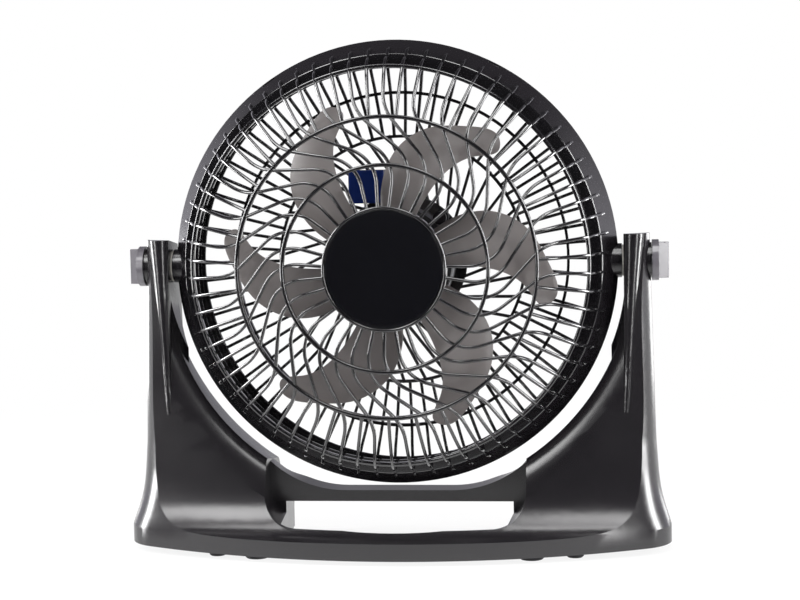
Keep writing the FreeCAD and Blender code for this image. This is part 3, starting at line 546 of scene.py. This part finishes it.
# in millimetres
EDGES = {"rear_housing": 0.7, "tilt_knob_left": 0.8, "tilt_knob_right": 0.8, "speed_knob": 0.6,
         "motor_cover": 0.8, "hub_disc": 0.3, "capacitor": 0.8, "cable_gland": 0.5}


def new_maker(data):
    """A passing object for modifiers to work on."""
    maker = bpy.data.objects.new("maker", data)
    scene.collection.objects.link(maker)
    return maker


def result_of(maker):
    """The plain mesh that an object's modifiers make. The object itself goes."""
    mesh = bpy.data.meshes.new_from_object(maker.evaluated_get(bpy.context.evaluated_depsgraph_get()))
    bpy.data.objects.remove(maker)
    return mesh


def bevelled(mesh, width):
    """The mesh with its sharp edges rounded, in millimetres. The broad faces decide the shading."""
    mesh.shade_smooth()
    maker = new_maker(mesh)
    edge = maker.modifiers.new("edge", "BEVEL")
    edge.width = width * MM
    edge.segments = BEVEL_STEPS
    edge.limit_method = "ANGLE"
    edge.angle_limit = BEVEL_ANGLE
    shade = maker.modifiers.new("shade", "WEIGHTED_NORMAL")
    shade.mode = "FACE_AREA"
    return result_of(maker)


for name, width in EDGES.items():
    piece = stand_in(name + "_skin", bevelled(merged(name, SHIFTS.get(name)), width), name)
    print(piece.name, len(piece.data.polygons), "faces")

# %% [markdown]
# Crisp copies
# The base and the fan wheel are broad curved faces that meet in clean lines, as on the real
# mouldings. A bevel would blur those lines, so the copies are only merged and shaded smooth, with
# the lines kept sharp. The back half of the base's round mouth also falls with its depth, so that
# from the front only one edge of it shows.

# %% Smooth copies of base and wheel
MOUTH_FALL = 0.28
# in metres
MOUTH_SPAN = (0.215, 0.182)
MOUTH_SIDES = (0.07, 0.09)
# in degrees
BASE_CREASE = 18
WHEEL_CREASE = 40


def let_mouth_fall(place):
    """Lowers the back half of the base's round mouth, so that it hides behind its own front edge."""
    near = ease(from_axle(place), *MOUTH_SPAN) * ease(abs(place.x), *MOUTH_SIDES)
    place.z -= max(place.y, 0.0) * MOUTH_FALL * near


def creased(mesh, degrees):
    """The mesh shaded smooth, apart from edges that turn by more than this."""
    mesh.shade_smooth()
    mesh.set_sharp_from_angle(angle=math.radians(degrees))
    return mesh


base_copy = creased(merged("base_shell", let_mouth_fall), BASE_CREASE)
wheel_copy = creased(merged("impeller"), WHEEL_CREASE)
for piece in (stand_in("base_shell_skin", base_copy, "base_shell"),
              stand_in("impeller_skin", wheel_copy, "impeller")):
    print(piece.name, len(piece.data.polygons), "faces")

# %% [markdown]
# A bar with rounded edges
# Ribs, rings and bars of a guard are all the same thing: a narrow rectangle with rounded edges that
# follows a line. A curve's own bevel would make round wire, so one small tree sweeps the rectangle
# along any curve. The curve lies on the front face, and the depth hangs behind it. Where a rib
# rests on the drum it has to get shallower, so the tree also takes a field that says by how much.
# The trees work in millimetres round the fan's axis, with Z to the front. The finished mesh is then
# turned into place.

# %% Rounded bar
SHAPE = "NodeSocketGeometry"
EDGE_STEPS = 3


def shape_tree(name, inputs):
    """A new tree that makes one mesh, and its input sockets."""
    return new_group(name, "GeometryNodeTree", inputs, (("Mesh", SHAPE),))


def keep_fields(tree, shape, fields):
    """Stores fields of (label, kind, value) on a shape, to be read once the shape has changed."""
    node = add(tree, "GeometryNodeCaptureAttribute", {"Geometry": shape})
    for label, kind, value in fields:
        node.capture_items.new(kind, label)
        tree.links.new(value, node.inputs[label])
    return node.outputs


def rounded_bar():
    inputs = (("Curve", SHAPE, None), ("Width", FLOAT, 2.0), ("Depth", FLOAT, 4.0), ("Edge", FLOAT, 0.7),
              ("Shallower", FLOAT, 0.0), ("Scale", FLOAT, 1.0))
    tree, given = shape_tree("rounded_bar", inputs)
    size = {"Width": given["Width"], "Height": given["Depth"]}
    outline = add(tree, "GeometryNodeCurvePrimitiveQuadrilateral", size).outputs[0]
    half = math_node(tree, "MULTIPLY", given["Depth"], 0.5)
    drop = add(tree, "ShaderNodeCombineXYZ", {"Y": half}).outputs[0]
    hung = add(tree, "GeometryNodeTransform", {"Geometry": outline, "Translation": drop}).outputs[0]
    rounding = {"Curve": hung, "Radius": given["Edge"], "Count": EDGE_STEPS, "Limit Radius": True}
    soft = add(tree, "GeometryNodeFilletCurve", rounding, mode="POLY").outputs[0]
    place = axes_of(tree, add(tree, "GeometryNodeInputPosition").outputs[0])
    behind = math_node(tree, "DIVIDE", place["Y"], given["Depth"])
    profile = keep_fields(tree, soft, (("Behind", "FLOAT", behind),))
    level = add(tree, "GeometryNodeSetCurveNormal", {"Curve": given["Curve"]}, mode="Z_UP").outputs[0]
    along = add(tree, "GeometryNodeInputTangent").outputs[0]
    side = add(tree, "GeometryNodeInputNormal").outputs[0]
    path = keep_fields(tree, level, (("Shallower", "FLOAT", given["Shallower"]), ("Along", "VECTOR", along),
                                     ("Side", "VECTOR", side)))
    sweep = {"Curve": path["Geometry"], "Profile Curve": profile["Geometry"], "Scale": given["Scale"],
             "Fill Caps": True}
    bar = add(tree, "GeometryNodeCurveToMesh", sweep).outputs[0]
    across = {0: path["Side"], 1: path["Along"]}
    lift = add(tree, "ShaderNodeVectorMath", across, operation="CROSS_PRODUCT").outputs[0]
    amount = math_node(tree, "MULTIPLY", path["Shallower"], profile["Behind"])
    amount = math_node(tree, "MULTIPLY", amount, math_node(tree, "SIGN", axes_of(tree, lift)["Z"]))
    offset = add(tree, "ShaderNodeVectorMath", {0: lift, "Scale": amount}, operation="SCALE").outputs[0]
    moved = add(tree, "GeometryNodeSetPosition", {"Geometry": bar, "Offset": offset})
    add(tree, "NodeGroupOutput", {"Mesh": moved.outputs[0]})
    return tree


ROUNDED_BAR = rounded_bar()
print("tree", ROUNDED_BAR.name)

# %% [markdown]
# Copies round the axis
# Ribs, bars, screws and dial marks repeat round a circle. An Array modifier could turn them, but it
# needs a second object to say by how much. Here one shape stands on a number of points that all lie
# on the axis, each turned a step further, and the same small tree serves all four.

# %% Turned copies
WHOLE = "NodeSocketInt"


def turned_copies():
    inputs = (("Shape", SHAPE, None), ("Count", WHOLE, 6), ("First", FLOAT, 0.0), ("Step", FLOAT, 1.0))
    tree, given = shape_tree("turned_copies", inputs)
    index = add(tree, "GeometryNodeInputIndex").outputs[0]
    angle = math_node(tree, "MULTIPLY_ADD", index, given["Step"], given["First"])
    angles = add(tree, "ShaderNodeCombineXYZ", {"Z": angle}).outputs[0]
    turn = add(tree, "FunctionNodeEulerToRotation", {0: angles}).outputs[0]
    points = add(tree, "GeometryNodePoints", {"Count": given["Count"]}).outputs[0]
    setting = {"Points": points, "Instance": given["Shape"], "Rotation": turn}
    copies = add(tree, "GeometryNodeInstanceOnPoints", setting)
    add(tree, "NodeGroupOutput", {"Mesh": copies.outputs[0]})
    return tree


TURNED_COPIES = turned_copies()


def set_round(tree, shape, given):
    """The shape turned round the axis by a tree's own inputs Count, First and Step."""
    inputs = {"Shape": shape} | {label: given[label] for label in ("Count", "First", "Step")}
    return add(tree, "GeometryNodeGroup", inputs, node_tree=TURNED_COPIES).outputs[0]


print("tree", TURNED_COPIES.name)

# %% From a tree to a mesh
TO_AXLE = Matrix.Translation((0, 0, AXLE_HEIGHT))
TO_FRONT = Matrix.Rotation(math.radians(90), 4, "X")
INTO_PLACE = TO_AXLE @ TO_FRONT @ Matrix.Scale(MM, 4)


def close_tree(tree, shape, material):
    """Ends a tree that an object uses: real geometry with its material."""
    real = add(tree, "GeometryNodeRealizeInstances", {"Geometry": shape})
    dressed = add(tree, "GeometryNodeSetMaterial", {"Geometry": real.outputs[0], "Material": material})
    add(tree, "NodeGroupOutput", {"Mesh": dressed.outputs[0]})


def made_by(tree, source, values):
    """The plain mesh that a tree makes from an object's data and these inputs, turned into place."""
    maker = new_maker(source)
    modifier = maker.modifiers.new("nodes", "NODES")
    modifier.node_group = tree
    for item in tree.interface.items_tree:
        if item.in_out == "INPUT" and item.name in values:
            modifier[item.identifier] = values[item.name]
    mesh = result_of(maker)
    mesh.transform(INTO_PLACE)
    return mesh


print("a tree's origin comes to", [round(v, 3) for v in INTO_PLACE.translation])

# %% [markdown]
# Ribs over a dome
# Seen from the front a rib is a line with two soft bends. Seen from the side it follows the dome.
# It could be drawn as one line in space, but the two views are easier to fit apart. So the tree
# takes a flat line with a bend radius at each corner, rounds the corners, and lifts every point to
# the height that the dome has at its distance from the axis. A Float Curve holds that skyline.

# %% Skyline
REACH = 165.0


def skyline_node(tree, distance, line):
    """The height of a dome at a distance from the axis, along a line of (distance, height)."""
    heights = [height for away, height in line]
    low = min(heights)
    rise = max(heights) - low
    node = add(tree, "ShaderNodeFloatCurve", {"Value": math_node(tree, "DIVIDE", distance, REACH)})
    curve = node.mapping.curves[0]
    for away, height in line:
        curve.points.new(away / REACH, (height - low) / rise)
    curve.points[0].location = (0.0, (heights[0] - low) / rise)
    curve.points[-1].location = (1.0, (heights[-1] - low) / rise)
    for point in curve.points:
        point.handle_type = "AUTO_CLAMPED"
    node.mapping.update()
    return math_node(tree, "MULTIPLY_ADD", node.outputs[0], rise, low)


print("a skyline reaches", REACH, "mm")

# %% Rib trees
MATERIAL = "NodeSocketMaterial"
BEND_STEPS = 12
FINE_STEPS = 160
TIP_SHARE = 0.75
# in millimetres
SEAT_RUN = 6.0
TIP_RUN = 2.0
NOWHERE = 999.0


def swept(tree, inputs):
    """A rounded bar along a curve."""
    return add(tree, "GeometryNodeGroup", inputs, node_tree=ROUNDED_BAR).outputs[0]


def rib_tree(name, line):
    inputs = (("Line", SHAPE, None), ("Width", FLOAT, 2.3), ("Depth", FLOAT, 4.6), ("Edge", FLOAT, 0.8),
              ("Steps", WHOLE, 60), ("Seat Radius", FLOAT, NOWHERE), ("Seat Depth", FLOAT, 2.0),
              ("Tip Radius", FLOAT, NOWHERE), ("Count", WHOLE, 35), ("First", FLOAT, 0.0),
              ("Step", FLOAT, 0.1), ("Material", MATERIAL, None))
    tree, given = shape_tree(name, inputs)
    bend = add(tree, "GeometryNodeInputRadius").outputs[0]
    rounding = {"Curve": given["Line"], "Radius": bend, "Count": BEND_STEPS, "Limit Radius": True}
    round_line = add(tree, "GeometryNodeFilletCurve", rounding, mode="POLY").outputs[0]
    fine = add(tree, "GeometryNodeResampleCurve", {"Curve": round_line, "Count": FINE_STEPS}).outputs[0]
    place = axes_of(tree, add(tree, "GeometryNodeInputPosition").outputs[0])
    flat = {"X": place["X"], "Y": place["Y"]}
    foot = add(tree, "ShaderNodeCombineXYZ", flat).outputs[0]
    away = add(tree, "ShaderNodeVectorMath", {0: foot}, operation="LENGTH").outputs["Value"]
    raised = add(tree, "ShaderNodeCombineXYZ", flat | {"Z": skyline_node(tree, away, line)}).outputs[0]
    lifted = add(tree, "GeometryNodeSetPosition", {"Geometry": fine, "Position": raised}).outputs[0]
    path = add(tree, "GeometryNodeResampleCurve", {"Curve": lifted, "Count": given["Steps"]}).outputs[0]
    rest = math_node(tree, "SUBTRACT", given["Seat Radius"], SEAT_RUN)
    cut = math_node(tree, "SUBTRACT", given["Depth"], given["Seat Depth"])
    shallower = ramp(tree, away, rest, given["Seat Radius"], 0.0, cut)
    near_tip = math_node(tree, "SUBTRACT", given["Tip Radius"], TIP_RUN)
    taper = ramp(tree, away, near_tip, given["Tip Radius"], 1.0, TIP_SHARE)
    bar = swept(tree, {"Curve": path, "Width": given["Width"], "Depth": given["Depth"],
                       "Edge": given["Edge"], "Shallower": shallower, "Scale": taper})
    close_tree(tree, set_round(tree, bar, given), given["Material"])
    return tree


# distance from the axis, height
FRONT_DOME = ((42.1, 72.5), (73.4, 69.5), (107.4, 63.0), (130.0, 54.5), (145.0, 44.5), (153.4, 25.6),
              (157.2, 20.2), (158.8, 12.5))
REAR_DISH = ((46.0, -47.6), (94.0, -43.0), (127.0, -36.5), (158.0, -28.0))
FRONT_RIBS = rib_tree("front_ribs", FRONT_DOME)
REAR_BARS = rib_tree("rear_bars", REAR_DISH)
print("trees", FRONT_RIBS.name, REAR_BARS.name)

# %% [markdown]
# Rings
# Rings tie the ribs of a guard together. A torus would have a round section, but these are moulded
# with the ribs and have the same flat section, so a ring is the same rounded bar on a circle.

# %% Ring tree
ROUND_STEPS = 140


def ring_tree():
    inputs = (("Radius", FLOAT, 100.0), ("Height", FLOAT, 0.0), ("Width", FLOAT, 2.8),
              ("Depth", FLOAT, 5.0), ("Edge", FLOAT, 0.8), ("Material", MATERIAL, None))
    tree, given = shape_tree("guard_ring", inputs)
    round_line = {"Resolution": ROUND_STEPS, "Radius": given["Radius"]}
    circle = add(tree, "GeometryNodeCurvePrimitiveCircle", round_line).outputs[0]
    up = add(tree, "ShaderNodeCombineXYZ", {"Z": given["Height"]}).outputs[0]
    raised = add(tree, "GeometryNodeTransform", {"Geometry": circle, "Translation": up}).outputs[0]
    bar = swept(tree, {"Curve": raised, "Width": given["Width"], "Depth": given["Depth"],
                       "Edge": given["Edge"]})
    close_tree(tree, bar, given["Material"])
    return tree


GUARD_RING = ring_tree()
print("tree", GUARD_RING.name)

# %% [markdown]
# Parts of a guard
# Both guards are put together from the same few things: ribs or bars, rings, and a round plate in
# the middle. The front one also has a flat ring near its edge. Ribs, bars and rings come from the
# trees. The plates and the flat ring repeat nothing, so a few lines of mesh code make them. All
# parts of a guard end up as one mesh, as it is one moulding.

# %% Lines and rings


def flat_line(points):
    """A flat curve through (distance, degrees, bend radius) points round the axis."""
    data = bpy.data.curves.new("line", "CURVE")
    data.dimensions = "3D"
    spline = data.splines.new("POLY")
    spline.points.add(len(points) - 1)
    for point, (away, degrees, bend) in zip(spline.points, points):
        angle = math.radians(degrees)
        point.co = (away * math.cos(angle), away * math.sin(angle), 0, 1)
        point.radius = bend
    return data


def ring(radius, height, width, depth, edge, material):
    """A rounded bar on a circle, its front face at a height on the axis."""
    values = {"Radius": radius, "Height": height, "Width": width, "Depth": depth, "Edge": edge,
              "Material": material}
    return made_by(GUARD_RING, bpy.data.meshes.new("empty"), values)


print("rings have", ROUND_STEPS, "steps")

# %% Plates and joining
RIM_STEPS = 2
GUARD_CREASE = 50


def mesh_of(work, name):
    """The mesh that has been worked on, under a name."""
    mesh = bpy.data.meshes.new(name)
    work.to_mesh(mesh)
    work.free()
    return mesh


def unit_circle(steps):
    turns = [step * math.tau / steps for step in range(steps)]
    return [(math.cos(turn), math.sin(turn)) for turn in turns]


def wall(work, one, other):
    """A band of faces between two closed rows of points."""
    for k in range(len(one)):
        work.faces.new((one[k - 1], one[k], other[k], other[k - 1]))


def round_plate(radius, front, depth, edge):
    """A closed disc square to the axis, with a rounded rim."""
    work = bmesh.new()
    middle = Matrix.Translation((0, 0, front - depth / 2))
    bmesh.ops.create_cone(work, cap_ends=True, segments=ROUND_STEPS, radius1=radius, radius2=radius,
                          depth=depth, matrix=middle)
    rims = [e for e in work.edges if abs(e.verts[0].co.z - e.verts[1].co.z) < depth / 2]
    bmesh.ops.bevel(work, geom=rims, offset=edge, segments=RIM_STEPS, profile=0.5, affect="EDGES")
    mesh = mesh_of(work, "plate")
    mesh.transform(INTO_PLACE)
    return mesh


def flat_washer(inner, outer, front, depth):
    """A flat ring square to the axis, with plain edges, so that its broad face is shaded flat."""
    work = bmesh.new()
    circle = unit_circle(ROUND_STEPS)
    corners = ((outer, front), (inner, front), (inner, front - depth), (outer, front - depth))
    rims = [[work.verts.new((x * radius, y * radius, z)) for x, y in circle] for radius, z in corners]
    for one, other in zip(rims, rims[1:] + rims[:1]):
        wall(work, one, other)
    bmesh.ops.recalc_face_normals(work, faces=work.faces)
    mesh = mesh_of(work, "washer")
    mesh.transform(INTO_PLACE)
    return mesh


def joined(meshes):
    """The meshes as one, shaded smooth with sharp corners kept."""
    work = bmesh.new()
    for mesh in meshes:
        work.from_mesh(mesh)
        bpy.data.meshes.remove(mesh)
    return creased(mesh_of(work, "joined"), GUARD_CREASE)


print("edges over", GUARD_CREASE, "degrees stay sharp")

# %% [markdown]
# The front guard
# Thirty-five long ribs leave the hub, bend twice and end as fins on the drum. As many short ones
# start at the outer one of two bracing rings. A shoulder and a seat ring close the edge, and a flat
# ring behind them shuts the windows between the fins. The ribs could be modelled once and copied by
# hand, but a tree keeps their number, phase and bends as values that can still be fitted.

# %% Front guard
RIB_COUNT = 35
RIB_PHASE = 2.0
RIB_SWEEP = 26.3
RIB_TIP = 158.8
RIB_EDGE = 1.0
OUTER_BRACE = 107.4
LONG_STEPS = 64
SHORT_STEPS = 30
satin = finish["grille_plastic"]
pitch = math.tau / RIB_COUNT
# distance from the axis, degrees round it, bend radius
long_line = ((43.0, 0.0, 0.0), (78.1, -1.0, 27.0), (113.3, RIB_SWEEP, 32.0), (RIB_TIP, RIB_SWEEP, 0.0))
short_line = ((OUTER_BRACE, RIB_SWEEP, 0.0), (RIB_TIP, RIB_SWEEP, 0.0))
# radius, height, width, depth
FRONT_RINGS = ((43.3, 73.5, 2.4, 13.0), (73.4, 70.1, 2.8, 5.8), (OUTER_BRACE, 63.6, 2.8, 5.8),
               (143.6, 45.1, 2.8, 5.2), (151.4, 26.2, 4.0, 2.2))
rib_values = {"Width": 2.3, "Depth": 4.6, "Edge": RIB_EDGE, "Seat Radius": 152.0, "Seat Depth": 2.1,
              "Tip Radius": RIB_TIP, "Count": RIB_COUNT, "Step": pitch, "Material": satin}
first = math.radians(RIB_PHASE)
front_parts = []
for line, start, steps in ((long_line, first, LONG_STEPS), (short_line, first + pitch / 2, SHORT_STEPS)):
    front_parts.append(made_by(FRONT_RIBS, flat_line(line), rib_values | {"First": start, "Steps": steps}))
for sizes in FRONT_RINGS:
    front_parts.append(ring(*sizes, RIB_EDGE, satin))
front_parts.append(flat_washer(inner=142.4, outer=152.0, front=30.0, depth=1.6))
front_parts.append(round_plate(radius=43.0, front=69.0, depth=2.4, edge=0.3))
front_guard = stand_in("front_guard", joined(front_parts), "front_grille")
print("front guard", len(front_guard.data.polygons), "faces")

# %% [markdown]
# The rear guard
# Seventy straight bars run from a fork ring to the drum's back edge, and half as many lean inwards
# from it to the plate that carries the motor. Through the front guard they show as a fine dark
# lattice. The rib tree makes them too: a bar is a rib without bends, on a flatter dish.

# %% Rear guard
BAR_COUNT = 70
BAR_EDGE = 0.7
bar_pitch = math.tau / BAR_COUNT
bar_values = {"Width": 2.4, "Depth": 3.4, "Edge": BAR_EDGE, "Material": satin}
outer_line = ((93.0, 0.0, 0.0), (154.0, 0.0, 0.0))
inner_line = ((48.0, -20.0, 0.0), (95.0, 0.0, 0.0))
outer_values = bar_values | {"Count": BAR_COUNT, "Step": bar_pitch, "Steps": 14}
inner_values = bar_values | {"Count": BAR_COUNT // 2, "Step": 2 * bar_pitch, "First": bar_pitch / 2,
                             "Steps": 10}
REAR_RINGS = ((94.0, -42.4, 2.4, 4.8), (127.0, -35.9, 2.4, 4.8), (153.9, -28.0, 8.0, 3.0))
rear_parts = [made_by(REAR_BARS, flat_line(outer_line), outer_values),
              made_by(REAR_BARS, flat_line(inner_line), inner_values)]
for sizes in REAR_RINGS:
    rear_parts.append(ring(*sizes, BAR_EDGE, satin))
rear_parts.append(round_plate(radius=50.0, front=-47.0, depth=3.0, edge=0.6))
rear_guard = stand_in("rear_guard", joined(rear_parts), "rear_grille")
print("rear guard", len(rear_guard.data.polygons), "faces")

# %% [markdown]
# Screws and dial
# Pan-head screws with a cross recess hold the rear guard and the motor cover. A plain disc would do
# from afar, but the recess is what makes a screw. One head is modelled with it, and a tree sets the
# head round the axis. The same tree sets the raised marks of the speed dial round its knob: one for
# each position of the switch.

# %% Circle tree
TOP = math.radians(90)


def circle_tree():
    inputs = (("Shape", SHAPE, None), ("Count", WHOLE, 3), ("First", FLOAT, 0.0), ("Step", FLOAT, 1.0),
              ("Material", MATERIAL, None))
    tree, given = shape_tree("set_on_circle", inputs)
    close_tree(tree, set_round(tree, given["Shape"], given), given["Material"])
    return tree


ON_CIRCLE = circle_tree()
print("tree", ON_CIRCLE.name)

# %% Screw heads
COVER_BACK = -67.0
GUARD_BACK = -31.0
# node, count, distance from the axis, seat, radius of the head
SCREWS = (("cover_screws", 3, 36.0, COVER_BACK, 3.6), ("grille_screws", 6, 156.0, GUARD_BACK, 3.2))
SCREW_STEPS = 24
SCREW_HEIGHT = 2.0
SCREW_CREASE = 35
# shares of the head's radius
CROSS_REACH = 0.55
CROSS_HALF = 0.16
CROWN = 0.75
# shares of the head's height
SHOULDER = 0.5
RECESS_FLOOR = 0.4
# the size of the recess at its floor, as a share of its mouth
RECESS_TAPER = 0.8
QUARTERS = ((1, 0), (0, 1), (-1, 0), (0, -1))


def screw_head(away, seat, radius):
    """A pan head with a cross recess, at a distance from the axis. It faces the back, where Z is lower."""
    arm = CROSS_REACH * radius
    half = CROSS_HALF * radius
    corner = ((arm, half), (half, half), (half, arm))
    cross = [(x * c - y * s, x * s + y * c) for c, s in QUARTERS for x, y in corner]
    circle = unit_circle(SCREW_STEPS)
    work = bmesh.new()

    def row(points, size, depth):
        return [work.verts.new((away + x * size, y * size, seat - depth)) for x, y in points]

    foot = row(circle, radius, 0.0)
    shoulder = row(circle, radius, SHOULDER * SCREW_HEIGHT)
    crown = row(circle, CROWN * radius, SCREW_HEIGHT)
    mouth = row(cross, 1, SCREW_HEIGHT)
    floor = row(cross, RECESS_TAPER, RECESS_FLOOR * SCREW_HEIGHT)
    wall(work, foot, shoulder)
    wall(work, shoulder, crown)
    wall(work, mouth, floor)
    work.faces.new(foot)
    work.faces.new(floor)
    rims = [work.edges.get((line[k - 1], line[k])) for line in (crown, mouth) for k in range(len(line))]
    bmesh.ops.triangle_fill(work, use_beauty=True, edges=rims)
    bmesh.ops.recalc_face_normals(work, faces=work.faces)
    return mesh_of(work, "head")


for name, count, away, seat, radius in SCREWS:
    values = {"Count": count, "First": TOP, "Step": math.tau / count, "Material": finish["screw_steel"]}
    heads = creased(made_by(ON_CIRCLE, screw_head(away, seat, radius), values), SCREW_CREASE)
    piece = stand_in(name + "_heads", heads, name)
    print(piece.name, len(heads.polygons), "faces")

# %% Dial marks
MARK_EDGE = 0.2
SWITCH_POSITIONS = 4
SWITCH_STEP = math.radians(-45)


def dial_mark(away, seat, length, width, height):
    """A raised bar that points at the axis, with its edges broken."""
    work = bmesh.new()
    size = Matrix.Diagonal((length, width, 2 * height, 1))
    bmesh.ops.create_cube(work, size=1, matrix=Matrix.Translation((away, 0, seat)) @ size)
    bmesh.ops.bevel(work, geom=work.edges[:], offset=MARK_EDGE, segments=RIM_STEPS, profile=0.5,
                    affect="EDGES")
    return mesh_of(work, "mark")


mark = dial_mark(away=21.0, seat=COVER_BACK, length=4.5, width=1.2, height=0.5)
mark_values = {"Count": SWITCH_POSITIONS, "First": TOP, "Step": SWITCH_STEP,
               "Material": finish["shell_plastic"]}
marks = made_by(ON_CIRCLE, mark, mark_values)
dial = bpy.data.objects.new("dial_marks", marks)
scene.collection.objects.link(dial)
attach(dial, body_of("motor_cover"))
print(dial.name, len(marks.polygons), "faces")
